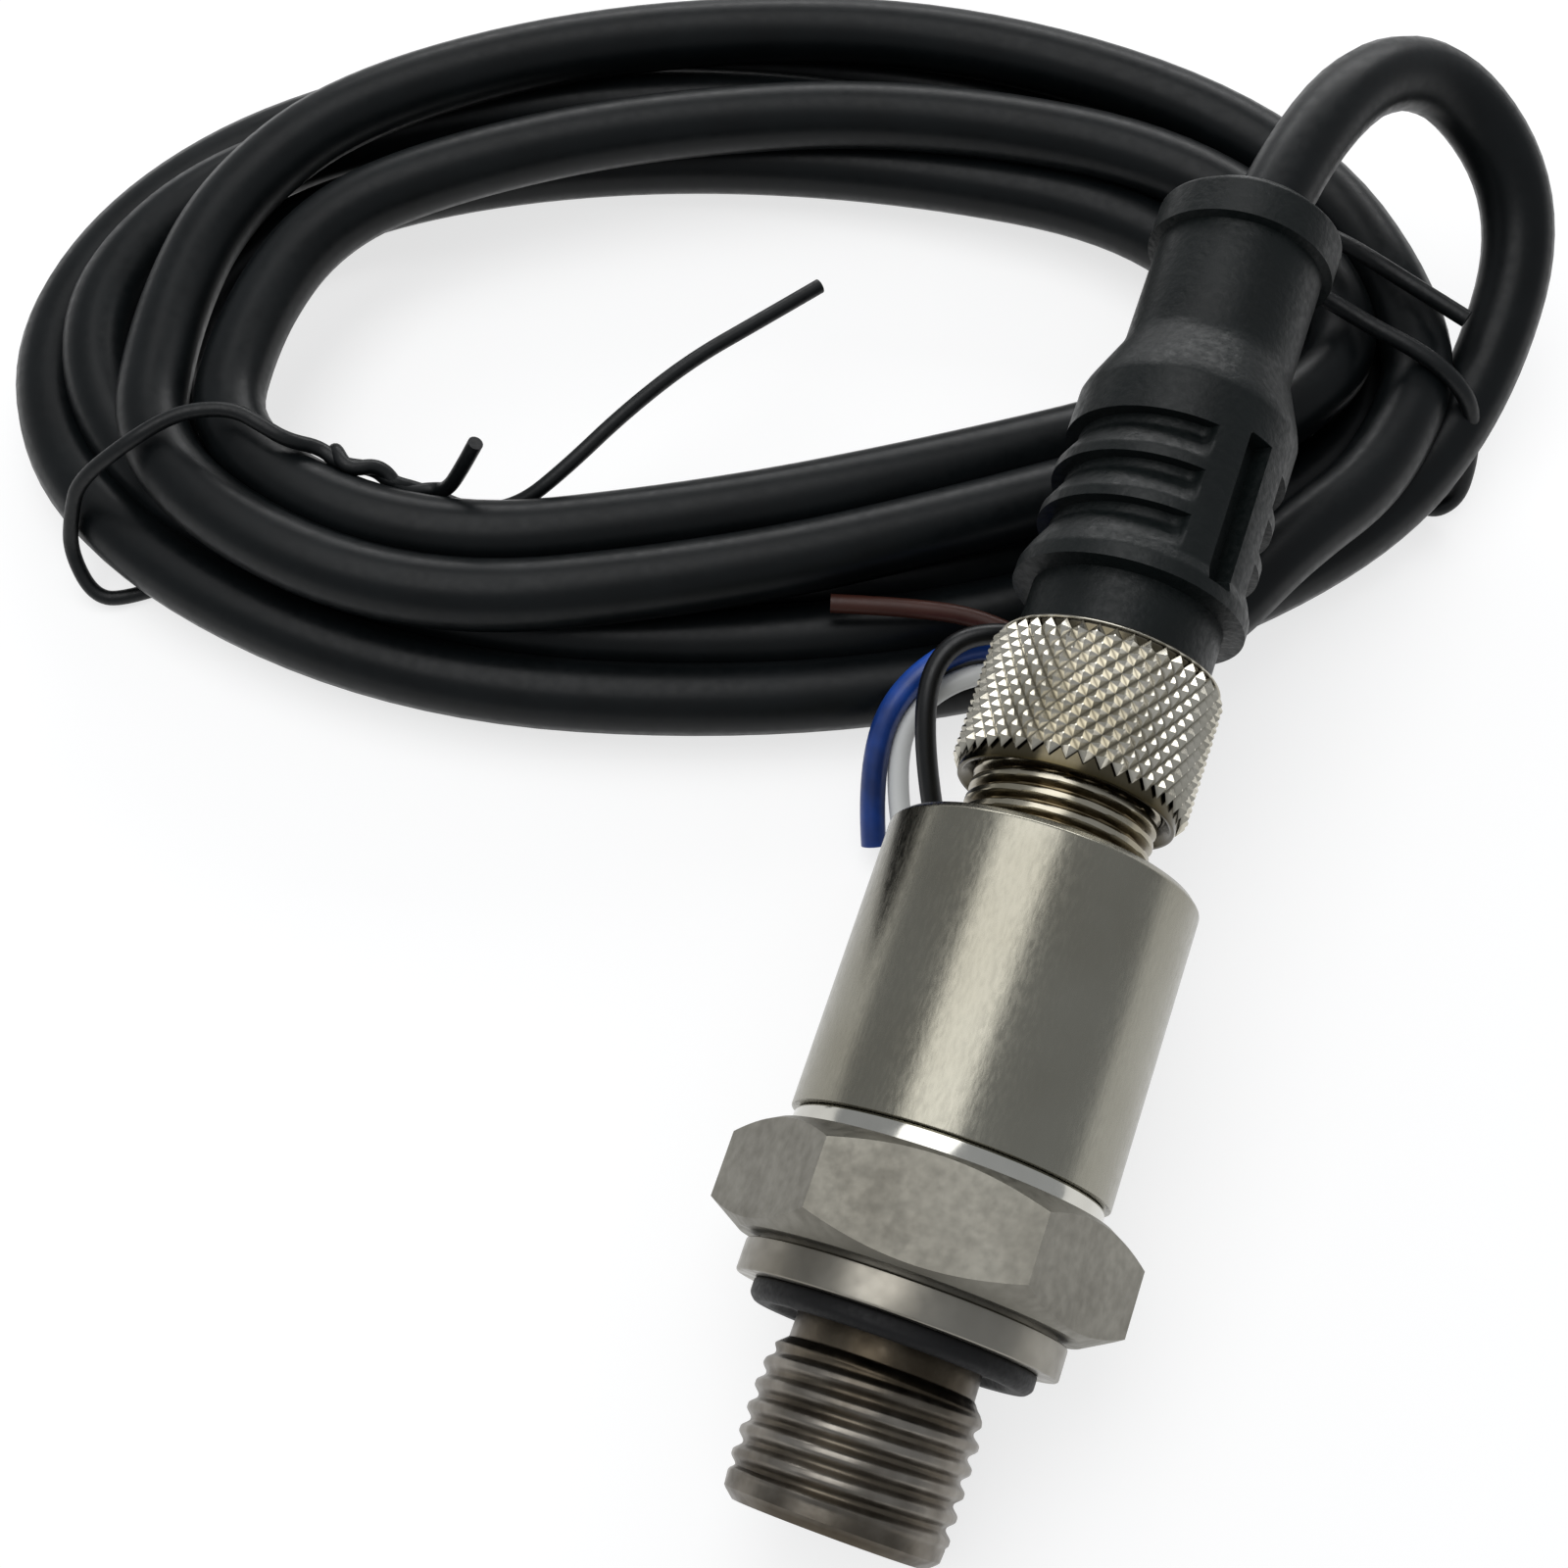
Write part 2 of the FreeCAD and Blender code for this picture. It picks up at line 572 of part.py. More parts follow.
# Three thumb notches run round each side of the grip: steep at the plug's back, then rising.
notches = turned_sketch(grip_body, "notch_sketch", S.grip_roll)
outside = S.grip_dia / 2 + 0.4
floor = S.grip_dia / 2 - S.notch_depth
for number in range(int(S.notch_count.value)):
    step = S.notch_first + S.notch_pitch * number
    outline(notches, [(outside, step), (floor, step), (floor, step - S.notch_flat),
                      (outside, step - S.notch_flat - S.notch_rise)])
doc.recompute()
smooth_volume = grip_body.Shape.Volume
notch_cut = grip_body.newObject("PartDesign::Groove", "notches")
notch_cut.Profile = notches
notch_cut.ReferenceAxis = (notches, ["V_Axis"])
notch_cut.Midplane = True
notch_cut.Angle = S.notch_sweep.value
notch_cut.setExpression("Angle", S.notch_sweep.text)
both_sides(grip_body, "notches_both_sides", notch_cut)
doc.recompute()
if grip_body.Shape.Volume > smooth_volume - 1:
    raise RuntimeError("the thumb notches cut nothing")

# A long narrow recess lies between the two sets of notches.
slot = turned_sketch(grip_body, "slot_sketch", S.grip_roll, S.grip_dia / 2 - S.slot_depth)
half_slot = S.slot_width / 2
outline(slot, [(-half_slot, S.slot_start), (half_slot, S.slot_start),
               (half_slot, S.slot_start + S.slot_length),
               (-half_slot, S.slot_start + S.slot_length)])
slot_cut = pocket(grip_body, "slot", slot, S.slot_depth * 2, backwards=True)
both_sides(grip_body, "slot_both_sides", slot_cut)
pieces.append(lay_down(grip_body))

# ---------------------------------------------------------------- cord
lead_points = [on_axis(S.lead_root.value), on_axis(99.0)] + on_table(
    (7.6, 110.0, 21.8), (18.2, 106.0, 13.6), (19.2, 92.5, 7.4))
cable_lead = round_bar("cable_lead", lead_points, S.cord_dia)
pieces.append(cable_lead)

tail_points = on_table((9.0, 72.6, 6.2), (6.6, 65.0, 6.2), (0.2, 61.0, 6.2))
cable_tail = round_bar("cable_tail", tail_points, S.cord_dia)
pieces.append(cable_tail)


def oval(name, x, y, turn, long_half, short_half):
    """An upright elliptical block as high as the coil."""
    rim = doc.addObject("Part::Ellipse", name + "_rim")
    rim.setExpression("MajorRadius", long_half.text)
    rim.setExpression("MinorRadius", short_half.text)
    rim.setExpression("Placement.Base.x", (S.origin_x + x).text)
    rim.setExpression("Placement.Base.y", (S.origin_y + y).text)
    rim.setExpression("Placement.Base.z", S.tie_dia.text)
    rim.Placement.Rotation = FreeCAD.Rotation(Vector(0, 0, 1), turn.value)
    rim.setExpression("Placement.Rotation.Angle", turn.text)
    block = doc.addObject("Part::Extrusion", name)
    block.Base = rim
    block.DirMode = "Custom"
    block.Dir = Vector(0, 0, 1)
    block.setExpression("LengthFwd", S.coil_height.text)
    block.Solid = True
    return block


coil_ring = doc.addObject("Part::Cut", "coil_ring")
coil_ring.Base = oval("coil_outside", S.coil_x, S.coil_y, S.coil_turn, S.coil_long, S.coil_short)
coil_ring.Tool = oval("coil_inside", S.hole_x, S.hole_y, S.hole_turn, S.hole_long, S.hole_short)
doc.recompute()
cable_coil = doc.addObject("Part::Fillet", "cable_coil")
cable_coil.Base = coil_ring
cable_coil.Edges = [(number, S.coil_round.value, S.coil_round.value)
                    for number, edge in enumerate(coil_ring.Shape.Edges, start=1)
                    if edge.Closed]
pieces.append(cable_coil)

# ---------------------------------------------------------------- cores at the bare end
CORES = {
    "core_brown": ((0.82, 0.85), (-9.0, 60.6, 11.4), (-19.4, 57.6, 12.3)),
    "core_black": ((-0.82, 0.85), (-5.6, 59.4, 11.4), (-11.6, 56.2, 12.0),
                   (-10.8, 50.0, 8.6), (-7.0, 44.4, 3.6)),
    "core_white": ((-0.82, -0.85), (-7.8, 57.2, 8.4), (-12.0, 51.4, 6.0), (-9.0, 44.2, 2.2)),
    "core_blue": ((0.82, -0.85), (-8.4, 59.2, 8.8), (-13.4, 52.4, 7.4), (-12.8, 44.9, 1.8)),
}
tail_end = tail_points[-1]
tail_way = tail_end - tail_points[-2]
tail_way.normalize()
tail_side = Vector(-tail_way.y, tail_way.x, 0)
for label, (spot, *rest) in CORES.items():
    start = tail_end - tail_side * spot[0] + Vector(0, 0, spot[1])
    core = round_bar(label, [start, start + tail_way * 3.0] + on_table(*rest), S.core_dia)
    pieces.append(core)


# ---------------------------------------------------------------- wire ties
def oval_crossing(start, way, x, y, turn, long_half, short_half):
    """Where a level line leaves an oval, as distances along the line."""
    angle = math.radians(turn.value)
    across = start - Vector(x.value, y.value, 0)
    px = (across.x * math.cos(angle) + across.y * math.sin(angle)) / long_half.value
    py = (across.y * math.cos(angle) - across.x * math.sin(angle)) / short_half.value
    dx = (way.x * math.cos(angle) + way.y * math.sin(angle)) / long_half.value
    dy = (way.y * math.cos(angle) - way.x * math.sin(angle)) / short_half.value
    a, b, c = dx * dx + dy * dy, px * dx + py * dy, px * px + py * py - 1
    return (math.sqrt(b * b - a * c) - b) / a


def tie_loop(name, start, way):
    """A wire bent round the section of the coil along a level line from inside it."""
    way = Vector(*way, 0)
    way.normalize()
    start = Vector(*start, 0)
    half = S.tie_dia.value / 2
    inner = oval_crossing(start, way, S.hole_x, S.hole_y, S.hole_turn, S.hole_long, S.hole_short)
    outer = oval_crossing(start, way, S.coil_x, S.coil_y, S.coil_turn, S.coil_long, S.coil_short)
    near, far = start + way * (inner - half), start + way * (outer + half)
    low, high = half, S.tie_dia.value * 1.5 + S.coil_height.value
    square_loop = [Vector(p.x + S.origin_x.value, p.y + S.origin_y.value, z)
                   for p, z in ((near, low), (far, low), (far, high), (near, high))]
    middles = [(a + b) * 0.5 for a, b in zip(square_loop, square_loop[1:] + square_loop[:1])]
    edges = []
    round_off = S.coil_round.value + half
    for index, here in enumerate(square_loop):
        back = middles[index - 1] - here
        ahead = middles[index] - here
        back.normalize()
        ahead.normalize()
        first, last = here + back * round_off, here + ahead * round_off
        bulge = here + (back + ahead) * round_off * (1 - math.sqrt(0.5))
        edges.append(Part.Arc(first, bulge, last).toShape())
    joined = []
    for index, arc in enumerate(edges):
        following = edges[(index + 1) % 4]
        joined += [arc, Part.LineSegment(arc.valueAt(arc.LastParameter),
                                         following.valueAt(following.FirstParameter)).toShape()]
    route = doc.addObject("Part::Feature", name + "_route")
    route.Shape = Part.Wire(joined)
    section = doc.addObject("Part::Circle", name + "_section")
    section.setExpression("Radius", (S.tie_dia / 2).text)
    first = joined[0]
    section.Placement = FreeCAD.Placement(
        first.valueAt(first.FirstParameter),
        FreeCAD.Rotation(Vector(0, 0, 1), first.tangentAt(first.FirstParameter)))
    loop = doc.addObject("Part::Sweep", name)
    loop.Sections = [section]
    loop.Spine = (route, [f"Edge{n + 1}" for n in range(8)])
    loop.Solid = True
    return loop, near + way * round_off, high


def tie(label, parts):
    """Join the loop with its tails and clear the coil that it lies against."""
    wires = doc.addObject("Part::MultiFuse", label + "_wires")
    wires.Shapes = parts
    made = doc.addObject("Part::Cut", label)
    made.Base, made.Tool = wires, cable_coil
    return made


# Each tie crosses the coil along a level line, given by a point in the hole and a direction.
RIGHT_START, RIGHT_WAY = (-20.0, 103.3), (0.922, -0.387)
LEFT_START, LEFT_WAY = (-50.0, 68.0), (-0.768, -0.64)
RIGHT_TAIL_TURN = Vector(2.0, 4.4, 0)

right_loop, right_knot, tie_high = tie_loop("tie_right_loop", RIGHT_START, RIGHT_WAY)
right_turn = right_knot + RIGHT_TAIL_TURN
right_tail = round_bar("tie_right_tail", on_table(
    (right_knot.x, right_knot.y, tie_high), (right_turn.x, right_turn.y, tie_high),
    (16.2, 93.9, tie_high + 0.4)), S.tie_dia)
pieces.append(tie("tie_right", [right_loop, right_tail]))

left_loop, left_knot, tie_high = tie_loop("tie_left_loop", LEFT_START, LEFT_WAY)
left_twist = round_bar("tie_left_twist", on_table(
    (left_knot.x, left_knot.y, tie_high), (-58.6, 57.6, tie_high - 0.6),
    (-47.4, 58.6, 8.6)), S.twist_dia)
left_stub = round_bar("tie_left_stub", on_table((-48.6, 58.5, 8.8), (-46.0, 59.4, 14.2)),
                      S.twist_dia)
left_tail = round_bar("tie_left_tail", on_table(
    (-47.6, 58.6, 8.6), (-42.0, 61.2, 8.8), (-36.6, 73.0, 11.6), (-28.6, 82.6, 12.2)), S.tie_dia)
pieces.append(tie("tie_left", [left_loop, left_twist, left_stub, left_tail]))

# ---------------------------------------------------------------- check and write
doc.recompute()
for item in doc.Objects:
    if "Invalid" in item.State or "Error" in item.State:
        raise RuntimeError(f"{item.Name}: {item.State}")
os.makedirs("parts", exist_ok=True)
for piece in pieces:
    shape = piece.Shape
    if shape.isNull() or not shape.isValid():
        raise RuntimeError(f"{piece.Label} has no valid shape")
for piece in pieces:
    piece.Shape.exportStep(f"parts/{piece.Label}.step")
    box = piece.Shape.BoundBox
    print(f"{piece.Label:18s} solids {len(piece.Shape.Solids)} volume {piece.Shape.Volume:9.1f} "
          f"x {box.XMin:7.1f} {box.XMax:7.1f} y {box.YMin:7.1f} {box.YMax:7.1f} "
          f"z {box.ZMin:6.2f} {box.ZMax:6.2f}")
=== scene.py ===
"""Looks of a pressure transmitter with a screwed-on plug and a coiled cord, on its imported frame."""
import json
import logging
import math
from dataclasses import dataclass, field
from enum import Enum
from functools import cache
from typing import Callable, Optional, Sequence

import bmesh
import bpy
from bpy.types import Material, Mesh, Node, NodeSocket as Socket, NodeTree, Object
from mathutils import Matrix, Vector


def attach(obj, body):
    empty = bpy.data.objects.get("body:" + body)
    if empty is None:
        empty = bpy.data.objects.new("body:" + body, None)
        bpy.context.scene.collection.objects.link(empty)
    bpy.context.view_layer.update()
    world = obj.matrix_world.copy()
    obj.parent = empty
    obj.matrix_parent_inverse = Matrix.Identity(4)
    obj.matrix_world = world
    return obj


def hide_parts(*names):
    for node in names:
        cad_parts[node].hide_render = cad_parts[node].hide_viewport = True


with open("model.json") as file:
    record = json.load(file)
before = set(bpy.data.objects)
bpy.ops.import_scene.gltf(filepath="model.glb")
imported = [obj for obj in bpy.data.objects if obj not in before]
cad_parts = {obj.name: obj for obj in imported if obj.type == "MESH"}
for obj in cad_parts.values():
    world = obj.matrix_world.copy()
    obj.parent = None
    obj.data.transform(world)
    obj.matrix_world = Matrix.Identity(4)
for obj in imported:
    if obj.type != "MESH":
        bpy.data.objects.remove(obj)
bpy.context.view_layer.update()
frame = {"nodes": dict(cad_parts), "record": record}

LOG = logging.getLogger("transmitter")
MM = 0.001
FULL_TURN = 2 * math.pi
MOUNT_STATION = 5.0
CORNER_SHARE = 0.45
CORNER_STEPS = 3
MERGE_DISTANCE = 1e-7
WIRE_SIDES = 6
WIRE_STEPS = 10
Pair = tuple[float, float]
Triple = tuple[float, float, float]
Pairs = Sequence[Pair]
Triples = Sequence[Triple]
EVEN: Triple = (1.0, 1.0, 1.0)


class Body(str, Enum):
    """The bodies that move against each other."""

    TRANSMITTER = "transmitter"
    PLUG = "plug"
    COUPLING = "coupling"


@dataclass(frozen=True)
class Axis:
    """The transmitter's own axis; stations are millimetres from the tip of its thread.

    Angles run from the top of the piece towards +X.
    """

    tip: Vector
    along: Vector

    @classmethod
    def from_frame(cls, record: dict, mount: str, station: float) -> "Axis":
        """Read the axis from a mount that lies on it.

        Args:
            record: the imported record.
            mount: name of the mount.
            station: the mount's distance from the tip in millimetres.

        Returns:
            The axis.
        """
        found = next(item for item in record["mounts"] if item["name"] == mount)
        along = -Vector(found["axis"])
        return cls(Vector(found["pos_m"]) - along * station * MM, along)

    @property
    def right(self) -> Vector:
        """The direction across the axis, level with the table."""
        return Vector((1.0, 0.0, 0.0))

    @property
    def up(self) -> Vector:
        """The direction across the axis that points to the top."""
        return self.right.cross(self.along)

    def at(self, station: float) -> Vector:
        """The point of the axis at a station."""
        return self.tip + self.along * station * MM

    def point(self, station: float, radius: float, angle: float) -> Vector:
        """A point round the axis; the angle is in radians."""
        across = self.up * math.cos(angle) + self.right * math.sin(angle)
        return self.at(station) + across * radius * MM

    def matrix(self) -> Matrix:
        """Turns a mesh drawn in millimetres along z into its place on the axis."""
        turn = Matrix((self.right, -self.up, self.along)).transposed().to_4x4()
        return Matrix.Translation(self.tip) @ turn @ Matrix.Scale(MM, 4)


AXIS = Axis.from_frame(frame["record"], "process_thread", MOUNT_STATION)


# --- mesh helpers
def rounded(corners: Pairs, radius: float) -> list[Pair]:
    """Round the corners of a closed outline.

    Args:
        corners: (radius, station) pairs in millimetres.
        radius: size of the round; short sides take a smaller one.

    Returns:
        The new outline.
    """
    made: list[Pair] = []
    for index, corner in enumerate(corners):
        here = Vector(corner)
        back = Vector(corners[index - 1]) - here
        ahead = Vector(corners[(index + 1) % len(corners)]) - here
        cut = min(radius, CORNER_SHARE * back.length, CORNER_SHARE * ahead.length)
        first, last = here + back.normalized() * cut, here + ahead.normalized() * cut
        for step in range(CORNER_STEPS + 1):
            t = step / CORNER_STEPS
            spot = first * (1 - t) ** 2 + here * 2 * t * (1 - t) + last * t ** 2
            made.append((spot.x, spot.y))
    return made


def between(marks: Pairs, place: float) -> float:
    """Value at a place on a row of marks.

    Args:
        marks: (place, value) pairs in rising order of place.
        place: where the value is wanted.

    Returns:
        The value; the first and last values hold on outside the marks.
    """
    for (p0, v0), (p1, v1) in zip(marks, marks[1:]):
        if place <= p1:
            return v0 + (v1 - v0) * max(0.0, place - p0) / (p1 - p0)
    return marks[-1][1]


def steps(*stretches: Triple) -> list[float]:
    """Stations of some stretches, evenly spaced on each.

    Args:
        stretches: the first station, the last station and the largest step of each.

    Returns:
        The stations of all the stretches.
    """
    made: list[float] = []
    for first, last, size in stretches:
        count = math.ceil((last - first) / size)
        made += [first + (last - first) * n / count for n in range(count + 1)]
    return made


def add_object(name: str, data: bpy.types.ID) -> Object:
    """Put an object with this mesh, curve, camera or lamp into the scene."""
    made = bpy.data.objects.new(name, data)
    bpy.context.collection.objects.link(made)
    return made


def circle(count: int) -> list[float]:
    """Equal angles round the axis, in radians."""
    return [FULL_TURN * n / count for n in range(count)]


class Shell:
    """Gathers the faces of one piece and turns them into an object."""

    def __init__(self, name: str) -> None:
        """Start an empty shell with the name of its piece."""
        self.name = name
        self.bm = bmesh.new()
        self.uv = self.bm.loops.layers.uv.new("wrap")
        self.materials: list[Material] = []

    def grid(self, rows: Sequence[Sequence[Vector]], material: Material) -> None:
        """Join rings of points with quads, and the last ring to the first.

        Args:
            rows: the rings, all with as many points.
            material: material of the faces.
        """
        if material not in self.materials:
            self.materials.append(material)
        slot = self.materials.index(material)
        verts = [[self.bm.verts.new(point) for point in row] for row in rows]
        count, width = len(rows), len(rows[0])
        for i in range(count):
            following = (i + 1) % count
            for j in range(width):
                side = (j + 1) % width
                face = self.bm.faces.new(
                    (verts[i][j], verts[following][j], verts[following][side], verts[i][side]))
                face.material_index = slot
                face.smooth = True
                marks = ((j, i), (j, i + 1), (j + 1, i + 1), (j + 1, i))
                for loop, (a, b) in zip(face.loops, marks):
                    loop[self.uv].uv = (a / width, b / count)

    def turned(self, outline: Pairs, material: Material, segments: int = 128) -> None:
        """Add a closed outline turned about the axis.

        Args:
            outline: (radius, station) pairs in millimetres.
            material: material of the faces.
            segments: number of faces round the axis.
        """
        self.grid([[AXIS.point(station, radius, angle) for angle in circle(segments)]
                   for radius, station in outline], material)

    def surface(self, reach: Callable[[float, float], float], stations: Sequence[float],
                segments: int, inner: Pairs, material: Material) -> None:
        """Add a closed ring whose outside follows a rule and whose inside is turned.

        Args:
            reach: radius at an angle and a station.
            stations: stations of the outer rows, from first to last.
            segments: number of faces round the axis.
            inner: (radius, station) pairs that close the ring, from last to first.
            material: material of the faces.
        """
        angles = circle(segments)
        rows = [[AXIS.point(s, reach(a, s), a) for a in angles] for s in stations]
        rows += [[AXIS.point(s, r, a) for a in angles] for r, s in inner]
        self.grid(rows, material)

    def finish(self, body: Body, node: str, slot: str, sharp: float) -> None:
        """Make the object and hang it on its body.

        Args:
            body: the body that carries the piece.
            node: the node of the frame that the piece stands for.
            slot: the record's material slot.
            sharp: edges that turn by more than this many degrees stay sharp.
        """
        bmesh.ops.remove_doubles(self.bm, verts=self.bm.verts, dist=MERGE_DISTANCE)
        bmesh.ops.recalc_face_normals(self.bm, faces=self.bm.faces)
        mesh = bpy.data.meshes.new(self.name)
        self.bm.to_mesh(mesh)
        self.bm.free()
        for material in self.materials:
            mesh.materials.append(material)
        mesh.set_sharp_from_angle(angle=math.radians(sharp))
        hang(add_object(self.name, mesh), body, [node], slot)


def hang(made: Object, body: Body, nodes: Sequence[str], slot: str) -> Object:
    """Hang an object on its body.

    Args:
        made: the object.
        body: the body that carries it.
        nodes: the nodes of the frame that it stands for.
        slot: the record's material slot; not used.

    Returns:
        The object.
    """
    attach(made, body.value)
    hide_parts(*nodes)
    LOG.info("%s rides on %s", made.name, body.value)
    return made


# --- node helpers
def feed(target: Socket, value: object) -> None:
    """Give an input its value.

    Args:
        target: the input.
        value: a socket, which is linked to it, or a plain value.
    """
    if isinstance(value, Socket):
        target.id_data.links.new(value, target)
    else:
        target.default_value = value


def add_node(tree: NodeTree, kind: str, *given: object, **named: object) -> Node:
    """Add a node to a tree.

    Args:
        tree: the tree.
        kind: type of the node.
        given: values or sockets for the node's first inputs, in order.
        named: its properties, and values or sockets for other inputs, with _ for a blank.

    Returns:
        The node.
    """
    node = tree.nodes.new(kind)
    for name, value in named.items():
        if hasattr(node, name):
            setattr(node, name, value)
        else:
            feed(node.inputs[name.replace("_", " ")], value)
    for target, value in zip(node.inputs, given):
        feed(target, value)
    return node


class Effects:
    """Shader node groups for the effects that several finishes share, each built once."""

    noise_reach: Pair = (0.3, 0.7)
    across: Triple = (1.0, 0.0, 1.0)

    @staticmethod
    def _start(name: str, inputs: Sequence[str], outputs: Sequence[str]) -> NodeTree:
        """Start a group that takes a vector and some numbers.

        Args:
            name: name of the group.
            inputs: names of the numbers that it takes after the vector.
            outputs: names of the numbers that it gives.

        Returns:
            The tree, still without nodes.
        """
        tree = bpy.data.node_groups.new(name, "ShaderNodeTree")
        tree.interface.new_socket("Vector", in_out="INPUT", socket_type="NodeSocketVector")
        for way, labels in (("INPUT", inputs), ("OUTPUT", outputs)):
            for label in labels:
                tree.interface.new_socket(label, in_out=way, socket_type="NodeSocketFloat")
        return tree

    @classmethod
    @cache
    def grain(cls) -> NodeTree:
        """Noise as a height, and the same noise spread between a low and a high value."""
        tree = cls._start("surface_grain", ("Scale", "Detail", "Low", "High"),
                          ("Height", "Spread"))
        given = tree.nodes.new("NodeGroupInput").outputs
        noise = add_node(tree, "ShaderNodeTexNoise", Vector=given["Vector"],
                         Scale=given["Scale"], Detail=given["Detail"]).outputs[0]
        span = add_node(tree, "ShaderNodeMapRange", noise, *cls.noise_reach, given["Low"],
                        given["High"])
        add_node(tree, "NodeGroupOutput", noise, span.outputs[0])
        return tree

    @classmethod
    @cache
    def groove_shade(cls) -> NodeTree:
        """Mask of painted shade: nought in the grooves, one on the crests round the axis."""
        tree = cls._start("painted_groove_shade", ("Groove", "Crest"), ("Mask",))
        given = tree.nodes.new("NodeGroupInput").outputs
        flat = add_node(tree, "ShaderNodeVectorMath", given["Vector"], cls.across,
                        operation="MULTIPLY")
        size = add_node(tree, "ShaderNodeVectorMath", flat.outputs[0], operation="LENGTH")
        span = add_node(tree, "ShaderNodeMapRange", size.outputs["Value"], given["Groove"],
                        given["Crest"])
        add_node(tree, "NodeGroupOutput", span.outputs[0])
        return tree


class NodeKit:
    """Short ways to build the nodes of one material."""

    def __init__(self, name: str) -> None:
        """Start a material with one plain shader."""
        self.material = bpy.data.materials.new(name)
        self.material.use_nodes = True
        self.tree = self.material.node_tree
        self.tree.nodes.clear()
        self.shader = self.add("ShaderNodeBsdfPrincipled")
        self.out = self.add("ShaderNodeOutputMaterial", self.shader.outputs[0])

    def add(self, kind: str, *given: object, **named: object) -> Node:
        """Add a node to the material."""
        return add_node(self.tree, kind, *given, **named)

    def give(self, **inputs: object) -> None:
        """Feed the shader's inputs by name, with _ for a blank."""
        for name, value in inputs.items():
            feed(self.shader.inputs[name.replace("_", " ")], value)

    def ramp(self, source: Socket, *stops: tuple[float, Triple]) -> Socket:
        """Turn a value into a colour.

        Args:
            source: the value.
            stops: places between nought and one, each with its colour.

        Returns:
            The colour.
        """
        node = self.add("ShaderNodeValToRGB", source)
        elements = node.color_ramp.elements
        while len(elements) < len(stops):
            elements.new(0.5)
        for element, (place, colour) in zip(elements, stops):
            element.position = place
            element.color = (*colour, 1.0)
        return node.outputs[0]

    def place(self, stretch: Triple = EVEN) -> Socket:
        """Object coordinates with y along the axis and nought on it.

        Args:
            stretch: factors on the three coordinates.

        Returns:
            The coordinates.
        """
        mapping = self.add("ShaderNodeMapping", self.add("ShaderNodeTexCoord").outputs["Object"],
                           Rotation=(-math.atan2(AXIS.along.z, AXIS.along.y), 0, 0),
                           Location=(0, 0, -AXIS.tip.dot(AXIS.up)))
        return self.add("ShaderNodeVectorMath", mapping.outputs[0], stretch,
                        operation="MULTIPLY").outputs[0]

    def grain(self, scale: float, detail: float, spread: Pair = (0.0, 1.0),
              stretch: Triple = EVEN) -> tuple[Socket, Socket]:
        """Place the shared grain.

        Args:
            scale: its count per metre.
            detail: its depth of detail.
            spread: low and high value of its spread.
            stretch: factors on the three coordinates.

        Returns:
            Its height and its spread.
        """
        node = self.add("ShaderNodeGroup", self.place(stretch), scale, detail, *spread,
                        node_tree=Effects.grain())
        return node.outputs["Height"], node.outputs["Spread"]

    def groove_shade(self, groove: float, crest: float) -> Socket:
        """Place the shared mask of painted groove shade between two radii in millimetres."""
        return self.add("ShaderNodeGroup", self.place(), groove * MM, crest * MM,
                        node_tree=Effects.groove_shade()).outputs["Mask"]

    def shade(self, colour: Socket, tint: Socket) -> Socket:
        """Multiply a colour by a tint.

        Args:
            colour: the colour.
            tint: the tint.

        Returns:
            The shaded colour.
        """
        node = self.add("ShaderNodeMix", 1.0, data_type="RGBA", blend_type="MULTIPLY")
        for target, value in zip(node.inputs[6:8], (colour, tint)):
            feed(target, value)
        return node.outputs[2]

    def bump(self, source: Socket, depth: float) -> None:
        """Drive the shader's normal with a height in millimetres."""
        self.give(Normal=self.add("ShaderNodeBump", Strength=1.0, Distance=depth * MM,
                                  Height=source).outputs[0])


# --- finishes
@dataclass(frozen=True)
class Metal:
    """A turned or plated metal."""

    name: str
    dark: Triple
    light: Triple
    rough: Pair = (0.25, 0.4)
    grain: float = 900.0
    stretch: Triple = EVEN
    depth: float = 0.004
    cloud: float = 120.0
    # painted shade in the grooves: radii over which it fades, then its colour there
    shade_radii: Optional[Pair] = None
    groove: Triple = (0.3, 0.28, 0.24)
    band: Pair = (0.35, 0.65)
    # place of the half-tone step in the painted groove shade
    half_shade_place: float = 0.45
    cloud_detail: float = 4.0
    detail: float = 2.0

    def make(self) -> Material:
        """Build the material."""
        kit = NodeKit(self.name)
        colour = kit.ramp(kit.grain(self.cloud, self.cloud_detail)[0],
                          *zip(self.band, (self.dark, self.light)))
        # painted shade: darker in the grooves of threads and knurl, none on the crests
        if self.shade_radii:
            half_shade = tuple((part + 1) / 2 for part in self.groove)
            colour = kit.shade(colour, kit.ramp(
                kit.groove_shade(*self.shade_radii), (0.0, self.groove), (self.half_shade_place, half_shade),
                (1.0, EVEN)))
        height, spread = kit.grain(self.grain, self.detail, self.rough, self.stretch)
        kit.give(Base_Color=colour, Metallic=1.0, Roughness=spread)
        kit.bump(height, self.depth)
        return kit.material


